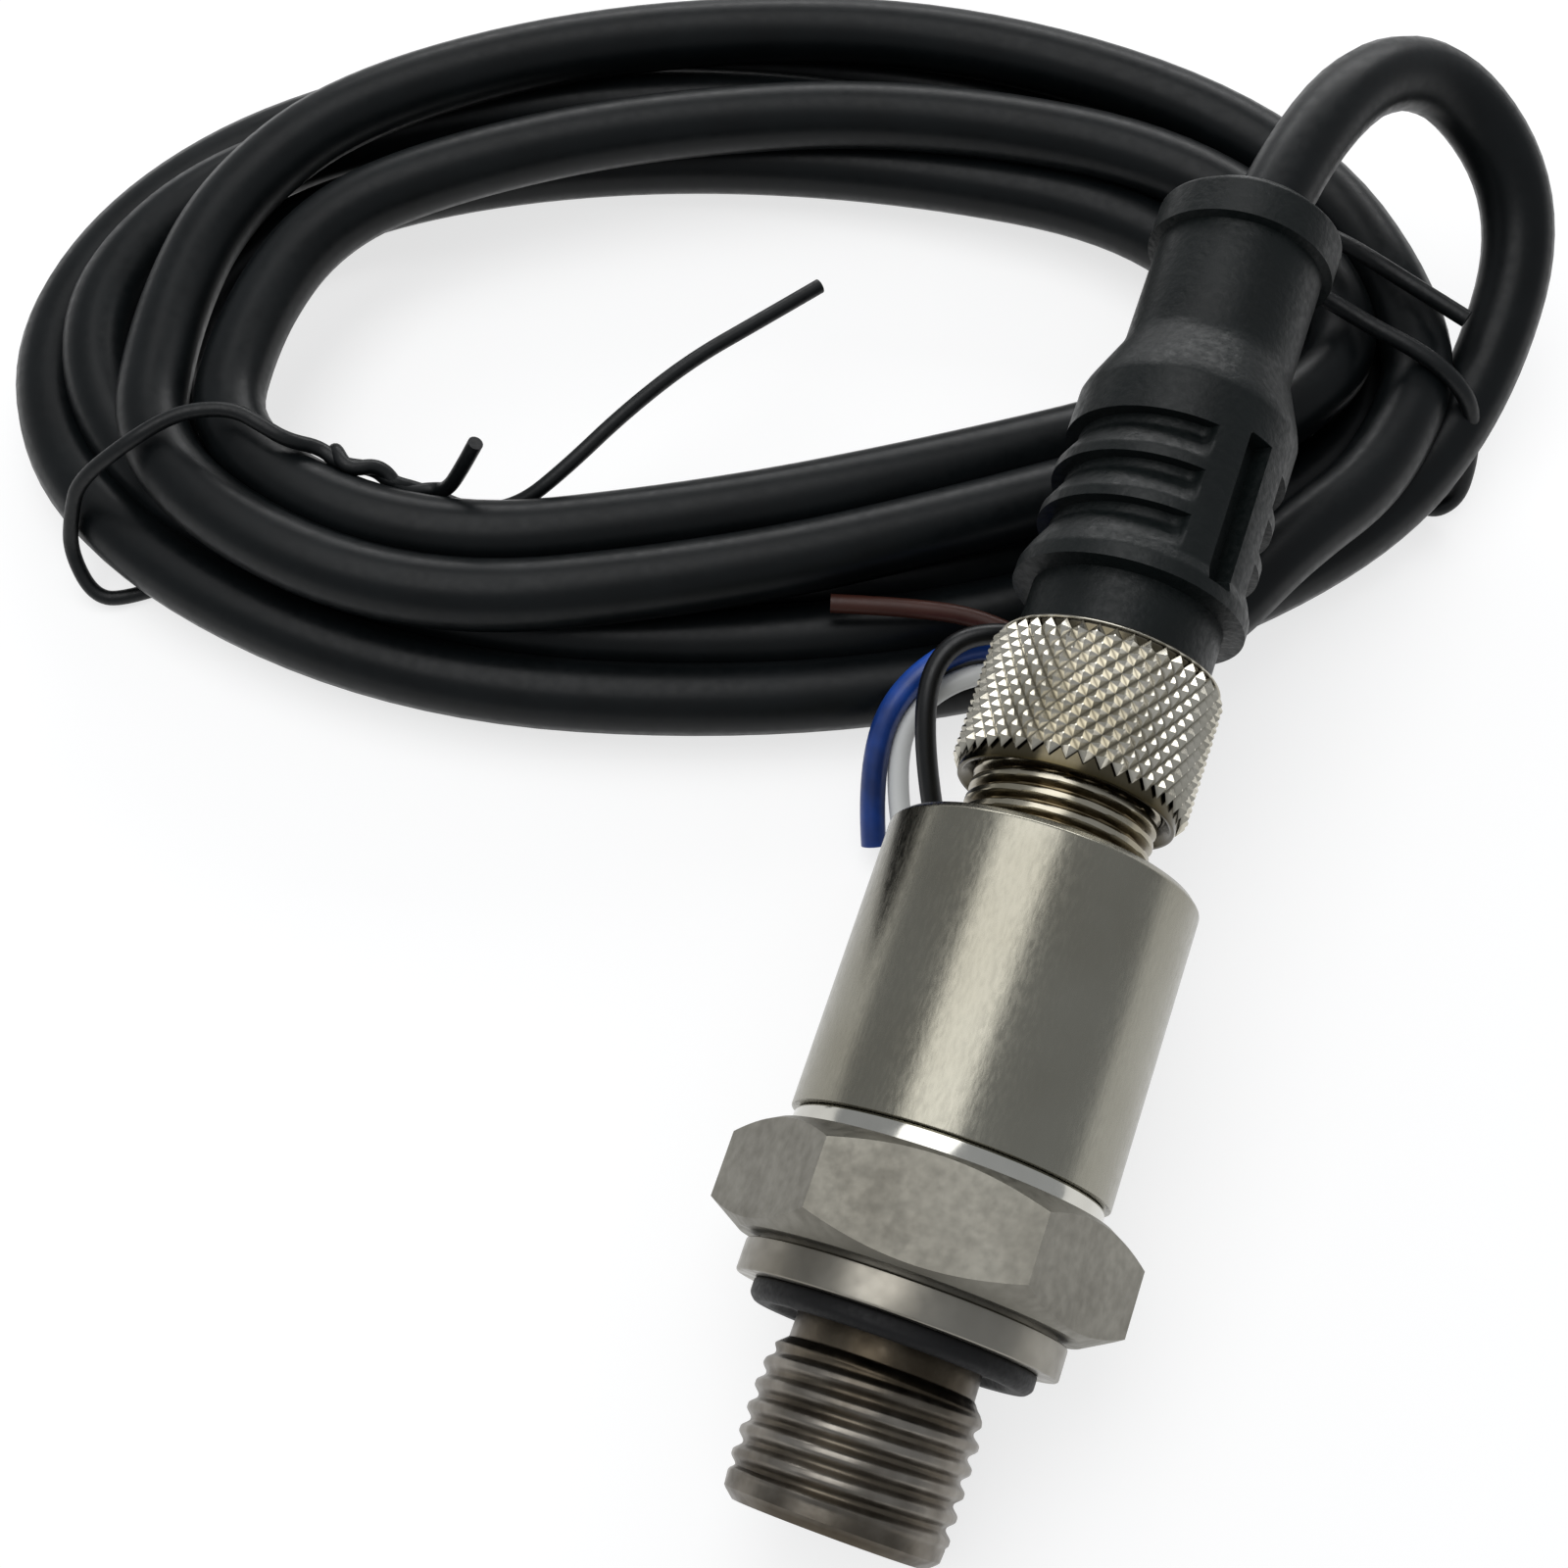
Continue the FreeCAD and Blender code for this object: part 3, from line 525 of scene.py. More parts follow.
@dataclass(frozen=True)
class Plastic:
    """A moulded plastic, rubber or ceramic."""

    name: str
    colour: Triple
    rough: Pair = (0.45, 0.6)
    grain: float = 3000.0
    depth: float = 0.01
    spread: float = 0.25
    shine: float = 0.5
    cloud: float = 200.0
    band: Pair = (0.3, 0.7)
    cloud_detail: float = 3.0
    detail: float = 2.0

    def make(self) -> Material:
        """Build the material."""
        kit = NodeKit(self.name)
        dark = tuple(part * (1 - self.spread) for part in self.colour)
        light = tuple(part * (1 + self.spread) for part in self.colour)
        colour = kit.ramp(kit.grain(self.cloud, self.cloud_detail)[0],
                          *zip(self.band, (dark, light)))
        height, spread = kit.grain(self.grain, self.detail, self.rough)
        kit.give(Base_Color=colour, Roughness=spread, Specular_IOR_Level=self.shine)
        kit.bump(height, self.depth)
        return kit.material


def made_of(recipe: Metal | Plastic) -> Material:
    """A field that holds the recipe's material."""
    return field(default_factory=recipe.make)


@dataclass
class Finishes:
    """Every material of the object, made once."""

    # the thread, stub and nut carry painted shade in their grooves
    thread: Material = made_of(Metal(
        "thread_steel", (0.13, 0.115, 0.095), (0.27, 0.25, 0.22), (0.28, 0.45), depth=0.03,
        cloud=260.0, shade_radii=(6.15, 6.62), groove=(0.42, 0.38, 0.32)))
    collar: Material = made_of(Metal(
        "collar_steel", (0.19, 0.175, 0.145), (0.29, 0.275, 0.24), (0.28, 0.42)))
    hexagon: Material = made_of(Metal(
        "hexagon_steel", (0.17, 0.16, 0.135), (0.26, 0.25, 0.215), (0.4, 0.55), 1400.0,
        depth=0.012))
    ring: Material = made_of(Metal(
        "polished_ring", (0.46, 0.45, 0.41), (0.62, 0.61, 0.56), (0.08, 0.18)))
    sleeve: Material = made_of(Metal(
        "brushed_sleeve", (0.235, 0.222, 0.18), (0.30, 0.29, 0.245), (0.2, 0.32),
        4600.0, (1.0, 0.3, 1.0), 0.0055, 60.0))
    stub: Material = made_of(Metal(
        "stub_thread", (0.30, 0.27, 0.20), (0.48, 0.45, 0.38), (0.18, 0.3),
        shade_radii=(5.45, 5.95), groove=(0.35, 0.3, 0.22)))
    nut: Material = made_of(Metal(
        "nickel_plate", (0.46, 0.43, 0.35), (0.66, 0.63, 0.55), (0.14, 0.26), depth=0.006,
        shade_radii=(7.0, 7.34), groove=(0.1, 0.085, 0.05)))
    rubber: Material = made_of(Plastic(
        "black_rubber", (0.006, 0.006, 0.0065), (0.5, 0.65), shine=0.25))
    grip: Material = made_of(Plastic(
        "grained_black", (0.0035, 0.0055, 0.0055), (0.36, 0.52), 2100.0, 0.04, shine=0.25))
    cord: Material = made_of(Plastic(
        "cord_jacket", (0.0032, 0.0044, 0.005), (0.33, 0.43), 1500.0, 0.004, shine=0.2))
    tie: Material = made_of(Plastic(
        "tie_coating", (0.004, 0.005, 0.0055), (0.35, 0.5), shine=0.3))
    brown: Material = made_of(Plastic(
        "brown_core", (0.045, 0.014, 0.009), (0.35, 0.45), depth=0.003, shine=0.3))
    black: Material = made_of(Plastic(
        "black_core", (0.004, 0.0045, 0.005), (0.3, 0.4), depth=0.003, shine=0.4))
    white: Material = made_of(Plastic(
        "white_core", (0.72, 0.73, 0.72), (0.3, 0.4), depth=0.003, spread=0.04))
    blue: Material = made_of(Plastic(
        "blue_core", (0.008, 0.05, 0.27), (0.3, 0.45), 900.0, 0.004, 0.6))


# --- camera and light
def seen(tree: NodeTree) -> Socket:
    """One where the camera, metal or glass sees a surface, and nought for its light.

    Args:
        tree: the tree of the surface's material.

    Returns:
        The mask.
    """
    path = tree.nodes.new("ShaderNodeLightPath").outputs
    whole = path["Is Camera Ray"]
    for name in ("Is Glossy Ray", "Is Transmission Ray"):
        whole = add_node(tree, "ShaderNodeMath", whole, path[name],
                         operation="MAXIMUM").outputs[0]
    return whole


@dataclass(frozen=True)
class Lamp:
    """A soft rectangular lamp; lengths are in millimetres and the power in watts."""

    name: str
    place: Triple
    aim: Triple
    size: Pair
    power: float

    def build(self) -> None:
        """Hang the lamp."""
        data = bpy.data.lights.new(self.name, "AREA")
        data.shape, data.energy = "RECTANGLE", self.power
        data.size, data.size_y = self.size[0] * MM, self.size[1] * MM
        made = add_object(self.name, data)
        made.location = Vector(self.place) * MM
        way = Vector(self.aim) - Vector(self.place)
        made.rotation_euler = way.to_track_quat("-Z", "Y").to_euler()


@dataclass(frozen=True)
class Studio:
    """Camera, lamps, floor and world."""

    eye: Triple = (4.067, -62.637, 135.553)
    turn_degrees: Triple = (27.718, 0.0, 19.554)
    lens: float = 49.5
    sensor: float = 36.0
    clip: Pair = (0.005, 10.0)
    lamps: Sequence[Lamp] = (
        Lamp("key", (-100, 10, 360), (0, -5, 10), (380, 260), 0.68),
        Lamp("back", (-80, 340, 150), (-30, 20, 5), (360, 120), 0.55))
    floor_size: float = 3.0
    floor_skin: Triple = (0.8, 0.8, 0.8)
    floor_shade: Triple = (0.34, 0.34, 0.34)
    floor_glow: float = 0.72
    floor_rough: float = 0.9
    room_colour: Triple = (0.93, 0.96, 1.0)
    room_strength: float = 0.42

    def camera(self) -> None:
        """Set the camera."""
        data = bpy.data.cameras.new("view")
        data.lens, data.sensor_width, data.sensor_fit = self.lens, self.sensor, "AUTO"
        data.clip_start, data.clip_end = self.clip
        made = add_object("view", data)
        made.location = Vector(self.eye) * MM
        made.rotation_euler = [math.radians(a) for a in self.turn_degrees]
        bpy.context.scene.camera = made

    def floor(self) -> None:
        """Add the pale floor: white to the camera and to metal, with the object's shadow."""
        bpy.ops.mesh.primitive_plane_add(size=self.floor_size, location=(0.0, 0.0, 0.0))
        made = bpy.context.object
        made.name = "floor"
        kit = NodeKit("pale_floor")
        kit.give(Base_Color=(*self.floor_skin, 1.0), Roughness=self.floor_rough,
                 Specular_IOR_Level=0.0)
        shade = kit.add("ShaderNodeBsdfDiffuse", Color=(*self.floor_shade, 1.0))
        glow = kit.add("ShaderNodeEmission", Color=(1.0, 1.0, 1.0, 1.0),
                       Strength=self.floor_glow)
        both = kit.add("ShaderNodeAddShader", shade.outputs[0], glow.outputs[0])
        mix = kit.add("ShaderNodeMixShader", seen(kit.tree), kit.shader.outputs[0],
                      both.outputs[0])
        feed(kit.out.inputs[0], mix.outputs[0])
        made.data.materials.append(kit.material)

    def world(self) -> None:
        """Light the room softly with one plain colour."""
        world = bpy.data.worlds.new("room")
        bpy.context.scene.world = world
        world.use_nodes = True
        back = world.node_tree.nodes["Background"]
        back.inputs["Color"].default_value = (*self.room_colour, 1.0)
        back.inputs["Strength"].default_value = self.room_strength

    def build(self) -> None:
        """Build the whole studio."""
        self.camera()
        self.floor()
        self.world()
        for lamp in self.lamps:
            lamp.build()
        bpy.context.scene.view_settings.view_transform = "Standard"


# --- cord
@dataclass(frozen=True)
class Coil:
    """The five turns of the coil.

    Twelve spokes cross the bundle, clockwise from its right end.  Each is given by a point on
    the outer rim and one on the inner rim.  Each turn has a depth inside the outer rim and a
    height at six stations, and ends where the next turn starts.
    """

    foot: Triple = (0.0, -43.8, 0.0)
    outer: Pairs = (
        (21, 95.5), (18, 79.5), (2.6, 62.7), (-19.5, 49.5), (-47.9, 41.9), (-75.4, 47.1),
        (-87.9, 60), (-88.2, 77), (-78.3, 93.6), (-54.6, 109.3), (-27, 115.6), (3.3, 113.7))
    inner: Pairs = (
        (-2, 94), (-8, 85), (-20, 73), (-33, 64.5), (-49, 58), (-63, 59),
        (-70, 67), (-70, 78), (-62, 86.5), (-47, 93.5), (-30, 98.5), (-13, 100))
    stations: Sequence[float] = (0.0, 2.0, 4.4, 6.3, 8.0, 10.0, 12.0)
    turns: Sequence[Pairs] = (
        ((0.8, 3.9), (0.9, 3.9), (0.0, 3.9), (0.0, 3.9), (0.0, 3.9), (-0.4, 3.9)),
        ((5.4, 3.9), (6.2, 3.9), (5.1, 3.9), (4.1, 7.2), (4.8, 5.0), (4.8, 4.2)),
        ((10.8, 3.9), (11.5, 3.9), (10.2, 3.9), (10.0, 3.8), (11.4, 3.9), (10.6, 3.9)),
        ((15.6, 6.0), (18.3, 8.8), (7.6, 9.0), (18.4, 8.8), (16.2, 9.1), (8.5, 8.6)),
        ((8.0, 8.8), (13.0, 8.9), (2.4, 9.0), (12.1, 9.2), (6.4, 10.0), (-0.8, 9.1)))
    leaving: Pair = (3.4, 8.9)
    half: float = 2.6

    def lane(self, turn: int, spoke: int) -> Pair:
        """Depth and height of a turn at a spoke.

        Args:
            turn: number of the turn.
            spoke: number of the spoke.

        Returns:
            The depth inside the outer rim and the height, in millimetres.
        """
        marks = list(self.turns[turn])
        marks.append(self.turns[turn + 1][0] if turn + 1 < len(self.turns) else self.leaving)
        for index, (start, end) in enumerate(zip(self.stations, self.stations[1:])):
            if start <= spoke <= end:
                t = (spoke - start) / (end - start)
                t = t * t * (3 - 2 * t)
                (d0, z0), (d1, z1) = marks[index], marks[index + 1]
                return d0 + (d1 - d0) * t, z0 + (z1 - z0) * t
        raise ValueError(f"no lane at spoke {spoke}")

    def spot(self, spoke: int, depth: float, height: float) -> Triple:
        """The centre of the cord on a spoke.

        Args:
            spoke: number of the spoke.
            depth: how far inside the outer rim the cord's skin lies.
            height: height of its centre above the table.

        Returns:
            The centre, in millimetres from the foot.
        """
        rim = Vector(self.outer[spoke])
        inward = (Vector(self.inner[spoke]) - rim).normalized()
        place = rim + inward * (self.half + depth)
        return place.x, place.y, height

    def points(self) -> list[Triple]:
        """The centre points of all the turns."""
        made = [self.spot(spoke, *self.lane(turn, spoke))
                for turn in range(len(self.turns))
                for spoke in range(len(self.outer)) if turn or spoke]
        return made + [self.spot(0, *self.leaving)]


def on_table(spots: Triples) -> list[Vector]:
    """Points in metres, from millimetres measured at the foot of the tip."""
    foot = Vector(Coil.foot)
    return [(Vector(spot) + foot) * MM for spot in spots]


def round_wire(name: str, points: Sequence[Vector], diameter: float,
               material: Material) -> Object:
    """A round wire along one smooth spline.

    Args:
        name: name of the piece.
        points: its control points in metres.
        diameter: its diameter in millimetres.
        material: its material.

    Returns:
        The curve object.
    """
    data = bpy.data.curves.new(name, "CURVE")
    data.dimensions = "3D"
    data.bevel_depth = diameter / 2 * MM
    data.bevel_resolution = WIRE_SIDES
    data.resolution_u = WIRE_STEPS
    data.use_fill_caps = True
    spline = data.splines.new("NURBS")
    spline.points.add(len(points) - 1)
    for spot, point in zip(spline.points, points):
        spot.co = (*point, 1.0)
    spline.order_u = 3
    spline.use_endpoint_u = True
    data.materials.append(material)
    return add_object(name, data)


@dataclass(frozen=True)
class Wire:
    """A core or a tie; its points are in millimetres from the foot."""

    name: str
    node: str
    slot: str
    finish: str
    diameter: float
    spots: Triples

    def lay(self, finishes: Finishes) -> Object:
        """Lay the wire on the coil and return it."""
        made = round_wire(self.name, on_table(self.spots), self.diameter,
                          getattr(finishes, self.finish))
        return hang(made, Body.TRANSMITTER, [self.node], self.slot)


WIRES = (
    Wire("brown_core", "core_brown", "core_brown_skin", "brown", 1.35, (
        (0.16, 61.1, 7.05), (-2.4, 60.0, 7.05), (-9.3, 61.3, 8.0), (-14.6, 60.2, 8.4),
        (-20.0, 58.6, 8.4))),
    Wire("black_core", "core_black", "core_black_skin", "black", 1.45, (
        (1.03, 59.7, 7.05), (-1.9, 58.7, 7.05), (-5.6, 59.4, 11.4), (-11.6, 56.2, 12.0),
        (-10.8, 50.0, 8.6), (-7.0, 44.4, 3.6))),
    Wire("white_core", "core_white", "core_white_skin", "white", 1.5, (
        (1.03, 59.7, 5.35), (-1.9, 58.7, 5.35), (-8.0, 57.0, 9.4), (-12.4, 53.2, 7.4),
        (-12.0, 48.8, 4.4), (-9.6, 44.8, 2.0))),
    Wire("blue_core", "core_blue", "core_blue_skin", "blue", 1.75, (
        (0.16, 61.1, 5.35), (-2.8, 60.1, 5.35), (-9.4, 58.6, 10.0), (-13.6, 53.2, 8.6),
        (-13.6, 48.4, 4.8), (-12.0, 44.9, 1.9))),
    Wire("right_tie", "tie_right", "tie_plastic", "tie", 1.25, (
        (16.4, 94.4, 12.8), (11.4, 96.1, 13.2), (6.4, 98.6, 12.8), (2.6, 99.6, 12.4),
        (0.8, 96.6, 12.4), (3.4, 94.2, 12.6), (6.8, 92.9, 12.6), (10.1, 91.6, 12.6),
        (13.3, 90.8, 12.5), (16.1, 90.1, 11.8), (18.4, 89.7, 9.9), (19.4, 89.3, 7.0),
        (20.1, 88.5, 4.2), (20.2, 87.2, 1.6), (18.4, 86.0, 0.7), (14.0, 88.4, 0.7),
        (8.0, 92.6, 0.7), (0.0, 95.9, 0.7), (-3.0, 97.0, 3.0), (-2.2, 96.6, 9.0),
        (2.0, 95.4, 12.4))),
    Wire("left_tie", "tie_left", "tie_plastic", "tie", 1.1, (
        (-29.0, 82.1, 12.2), (-32.3, 77.2, 12.2), (-35.6, 72.6, 12.0), (-38.5, 67.0, 11.6),
        (-41.0, 61.6, 10.6), (-43.6, 58.8, 8.6), (-47.0, 57.8, 7.6), (-50.6, 58.0, 8.2),
        (-52.6, 56.9, 9.8), (-54.4, 58.0, 9.2), (-56.2, 56.6, 10.6), (-58.0, 57.4, 10.8),
        (-59.8, 56.3, 12.2), (-61.8, 56.5, 12.9), (-63.7, 56.9, 13.1), (-65.7, 56.4, 13.2),
        (-68.0, 55.0, 13.1), (-70.4, 52.2, 12.3), (-73.9, 49.9, 9.2), (-74.6, 48.6, 6.6),
        (-75.0, 47.2, 3.4), (-72.8, 45.4, 0.9), (-70.4, 46.4, 0.7), (-65.6, 51.0, 0.7),
        (-60.0, 56.6, 0.7), (-57.2, 59.0, 3.0), (-57.8, 58.6, 7.4), (-57.2, 57.8, 10.9),
        (-55.4, 56.2, 10.8), (-53.6, 57.8, 10.3), (-51.8, 56.8, 9.0), (-50.0, 58.2, 8.4),
        (-48.7, 58.0, 9.2), (-47.4, 58.4, 11.8), (-46.2, 59.0, 14.6))))


@dataclass
class Cord:
    """The cord with its coil and the wires on it."""

    finishes: Finishes
    diameter: float = 5.2
    length: float = 1.21
    root: float = 83.0
    exit: float = 89.0
    straight_end: float = 99.0
    straight_lean: float = 1.2
    coil: Coil = Coil()

    def route(self) -> list[Vector]:
        """The whole way of the cord, from inside the grip to its bare end."""
        lead = [AXIS.at(self.root),
                AXIS.at(self.straight_end) + AXIS.right * self.straight_lean * MM]
        lead += on_table([(8.6, 110.3, 21.2), (19.0, 106.5, 13.4), (19.4, 93.0, 7.0)])
        tail = on_table([(13.9, 82.0, 9.0), (8.8, 73.6, 9.2), (5.2, 65.8, 8.0),
                         (0.6, 60.4, 6.2)])
        return lead + on_table(self.coil.points()) + tail

    def build(self) -> None:
        """Lay the cord and the wires on it."""
        cord = round_wire("cord", self.route(), self.diameter, self.finishes.cord)
        hang(cord, Body.TRANSMITTER, ["cable_lead", "cable_coil", "cable_tail"], "cord_jacket")
        pieces = [wire.lay(self.finishes) for wire in WIRES]
        AXIS.at(self.exit)


@dataclass(frozen=True)
class Thread:
    """A single-start outside thread."""

    crest: float
    depth: float
    pitch: float
    flat: float = 0.3
    root: float = 0.08
    phase: float = 0.0

    def reach(self, angle: float, station: float) -> float:
        """Radius of the thread.

        Args:
            angle: angle round the axis in radians.
            station: station on the axis.

        Returns:
            The radius in millimetres.
        """
        turn = (station / self.pitch - angle / FULL_TURN + self.phase) % 1.0
        rise = abs(turn * 2 - 1)
        height = min(1.0, max(0.0, (rise - self.root) / (1 - self.root - self.flat)))
        return self.crest - self.depth * (1 - height * height * (3 - 2 * height))


@dataclass
class ProcessFitting:
    """The turned body: thread, collar, hexagon and polished ring, with its seal."""

    finishes: Finishes
    bore: float = 3.5
    bore_edge: float = 0.3
    tip_inside: float = 5.6
    thread: Thread = Thread(6.62, 0.42, 1.337, flat=0.14, root=0.04, phase=0.93)
    profile: Pairs = (
        (0.0, 5.75), (0.55, 6.42), (1.35, 6.5), (1.6, 6.62), (7.4, 6.62), (8.9, 6.3),
        (9.5, 5.62), (12.3, 5.6))
    thread_depth: Pairs = ((1.3, 0.0), (1.8, 1.0), (8.2, 1.0), (9.5, 0.0))
    thread_rows: Triples = ((0.0, 1.2, 0.15), (1.3, 9.7, 0.075))
    thread_segments: int = 112
    collar_face: float = 12.0
    collar: float = 19.6
    collar_edge: float = 0.18
    neck: float = 5.0
    groove_face: float = 14.0
    groove: float = 18.2
    hex_face: float = 14.35
    hex_top: float = 20.95
    flats: float = 22.0
    side_segments: int = 20
    land: float = 21.0
    bevel: float = 30.0
    inside: float = 8.6
    ring: float = 19.2
    ring_top: float = 22.15
    ring_edge: float = 0.4
    overlap: float = 0.2
    seal: Pairs = (
        (5.7, 11.5), (6.1, 11.1), (6.9, 11.25), (7.3, 10.75), (8.2, 10.7), (8.6, 11.1),
        (8.6, 12.0), (5.7, 12.0))
    seal_edge: float = 0.2

    def reach(self, angle: float, station: float) -> float:
        """Radius of the threaded stretch at an angle and a station."""
        groove = self.thread.crest - self.thread.reach(angle, station)
        return between(self.profile, station) - groove * between(self.thread_depth, station)

    def side(self, angle: float) -> float:
        """Distance from the axis to the hexagon's side at an angle."""
        return self.flats / 2 / math.cos((angle + math.pi / 6) % (math.pi / 3) - math.pi / 6)

    def hexagon(self, shell: Shell) -> None:
        """Add the hexagon with its bevelled corners to the fitting's shell."""
        angles = circle(6 * self.side_segments)
        land = self.land / 2
        fall = math.tan(math.radians(self.bevel))
        rows = [[AXIS.point(self.hex_face, radius, a) for a in angles]
                for radius in (self.inside, self.groove / 2, land)]
        for face, sign in ((self.hex_face, 1), (self.hex_top, -1)):
            rows.append([AXIS.point(face + sign * (self.side(a) - land) * fall, self.side(a), a)
                         for a in angles])
        rows += [[AXIS.point(self.hex_top, radius, a) for a in angles]
                 for radius in (land, self.inside)]
        shell.grid(rows, self.finishes.hexagon)

    def build(self) -> None:
        """Build the fitting and its seal."""
        shell = Shell("process_fitting")
        bore, collar, groove, rim = (
            size / 2 for size in (self.bore, self.collar, self.groove, self.ring))
        thread_end = self.collar_face + self.overlap
        inner = [(bore + self.bore_edge, thread_end), (bore, self.collar_face),
                 (bore, self.bore_edge), (bore + self.bore_edge, 0.0), (self.tip_inside, 0.0)]
        shell.surface(self.reach, steps(*self.thread_rows) + [thread_end], self.thread_segments,
                      inner, self.finishes.thread)
        collar_end = self.hex_face + self.overlap
        shell.turned(rounded([
            (self.neck, self.collar_face), (collar, self.collar_face),
            (collar, self.groove_face), (groove, self.groove_face), (groove, collar_end),
            (self.neck, collar_end)], self.collar_edge), self.finishes.collar)
        self.hexagon(shell)
        ring_foot = self.hex_top - self.overlap
        shell.turned(rounded([
            (self.inside, ring_foot), (rim, ring_foot), (rim, self.ring_top),
            (self.inside, self.ring_top)], self.ring_edge), self.finishes.ring)
        shell.finish(Body.TRANSMITTER, "process_body", "process_steel", sharp=28.0)

        seal = Shell("profile_seal")
        seal.turned(rounded(self.seal, self.seal_edge), self.finishes.rubber)
        seal.finish(Body.TRANSMITTER, "process_seal", "seal_rubber", sharp=35.0)


@dataclass
class Housing:
    """The sleeve and its threaded stub."""

    finishes: Finishes
    sleeve: float = 19.8
    foot: float = 22.15
    top: float = 41.25
    room: float = 17.2
    roof: float = 1.2
    edge: float = 0.5
    softness: float = 0.12
    sleeve_segments: int = 160
    stub_top: float = 51.55
    stub_hole: float = 8.8
    stub_root: float = 5.0
    stub_lead_in: float = 0.6
    stub_segments: int = 96
    row_step: float = 0.07
    overlap: float = 0.1
    thread: Thread = Thread(6.0, 0.58, 1.0)

    def stub(self, angle: float, station: float) -> float:
        """Radius of the threaded stub at an angle and a station."""
        lead_in = self.thread.crest - self.stub_lead_in + (self.stub_top - station)
        return min(self.thread.reach(angle, station), lead_in)

    def build(self) -> None:
        """Build the housing."""
        shell = Shell("brushed_housing")
        side, room, hole = self.sleeve / 2, self.room / 2, self.stub_hole / 2
        ceiling, stub_foot = self.top - self.roof, self.top - self.overlap
        shell.turned(rounded([
            (room, self.foot), (side, self.foot), (side, self.top - self.edge),
            (side - self.edge, self.top), (self.stub_root, self.top), (self.stub_root, ceiling),
            (room, ceiling)], self.softness), self.finishes.sleeve, self.sleeve_segments)
        shell.surface(self.stub, steps((stub_foot, self.stub_top, self.row_step)),
                      self.stub_segments, [(hole, self.stub_top), (hole, stub_foot)],
                      self.finishes.stub)
        shell.finish(Body.TRANSMITTER, "housing_sleeve", "sleeve_steel", sharp=30.0)


class KnurlTree:
    """Geometry nodes that set rows of small pyramids round a cylinder."""

    numbers: dict[str, float] = {
        "Around": 42, "Rows": 12, "Radius": 7.05, "Height": 0.36, "Foot": 45.6, "Length": 9.0}
    flat_top: float = 0.12
    sink: float = 0.03

    def __init__(self) -> None:
        """Build the node tree."""
        self.tree = bpy.data.node_groups.new("diamond_knurl", "GeometryNodeTree")
        self.sockets: dict[str, str] = {}
        self.tree.interface.new_socket("Geometry", in_out="OUTPUT",
                                       socket_type="NodeSocketGeometry")
        for name, value in self.numbers.items():
            kind = "NodeSocketInt" if isinstance(value, int) else "NodeSocketFloat"
            socket = self.tree.interface.new_socket(name, in_out="INPUT", socket_type=kind)
            socket.default_value = value
            self.sockets[name] = socket.identifier
        self._build()

    def _add(self, kind: str, *given: object, **named: object) -> Socket:
        """Add a node and return its first output."""
        return add_node(self.tree, kind, *given, **named).outputs[0]

    def _math(self, operation: str, a: object, b: object = 0.0) -> Socket:
        """Add a math node over sockets or numbers."""
        return self._add("ShaderNodeMath", a, b, operation=operation)

    def _combine(self, x: object, y: object, z: object) -> Socket:
        """Add a combine node over sockets or numbers."""
        return self._add("ShaderNodeCombineXYZ", x, y, z)

    def _build(self) -> None:
        """Lay the nodes: points in rows, and a pyramid that leans out on each."""
        given = self.tree.nodes.new("NodeGroupInput").outputs
        count = self._math("MULTIPLY", given["Around"], given["Rows"])
        index = self._add("GeometryNodeInputIndex")
        row = self._math("FLOOR", self._math("DIVIDE", index, given["Around"]))
        column = self._math("SUBTRACT", index, self._math("MULTIPLY", row, given["Around"]))
        shift = self._math("MULTIPLY", self._math("MODULO", row, 2.0), 0.5)
        angle = self._math("MULTIPLY", self._math("ADD", column, shift),
                           self._math("DIVIDE", FULL_TURN, given["Around"]))
        row_step = self._math("DIVIDE", given["Length"], self._math("ADD", given["Rows"], 1.0))
        station = self._math("ADD", given["Foot"], self._math(
            "MULTIPLY", self._math("ADD", row, 1.0), row_step))
        x = self._math("MULTIPLY", given["Radius"], self._math("COSINE", angle))
        y = self._math("MULTIPLY", given["Radius"], self._math("SINE", angle))
        points = self._add("GeometryNodeSetPosition",
                           Geometry=self._add("GeometryNodeMeshLine", Count=count),
                           Position=self._combine(x, y, station))
        cone = self._add("GeometryNodeMeshCone", fill_type="NGON", Vertices=4,
                         Radius_Top=self.flat_top, Radius_Bottom=1.0, Depth=given["Height"])
        width = self._math("DIVIDE", self._math("MULTIPLY", math.pi, given["Radius"]),
                           given["Around"])
        shaped = self._add("GeometryNodeTransform", Geometry=cone,
                           Scale=self._combine(row_step, width, 1.0),
                           Translation=self._combine(0.0, 0.0, -self.sink))
        lean = self._add("GeometryNodeInstanceOnPoints", Points=points, Instance=shaped,
                         Rotation=self._combine(0.0, math.pi / 2, angle))
        add_node(self.tree, "NodeGroupOutput", self._add("GeometryNodeRealizeInstances", lean))

    def mesh(self, values: dict[str, float]) -> Mesh:
        """Run the tree.

        Args:
            values: values of its inputs by name.

        Returns:
            A plain mesh in millimetres along z.
        """
        carrier = add_object("knurl_carrier", bpy.data.meshes.new("knurl_carrier"))
        modifier = carrier.modifiers.new("knurl", "NODES")
        modifier.node_group = self.tree
        for name, value in values.items():
            modifier[self.sockets[name]] = value
        bpy.context.view_layer.update()
        graph = bpy.context.evaluated_depsgraph_get()
        made = bpy.data.meshes.new_from_object(carrier.evaluated_get(graph))
        bpy.data.objects.remove(carrier)
        return made


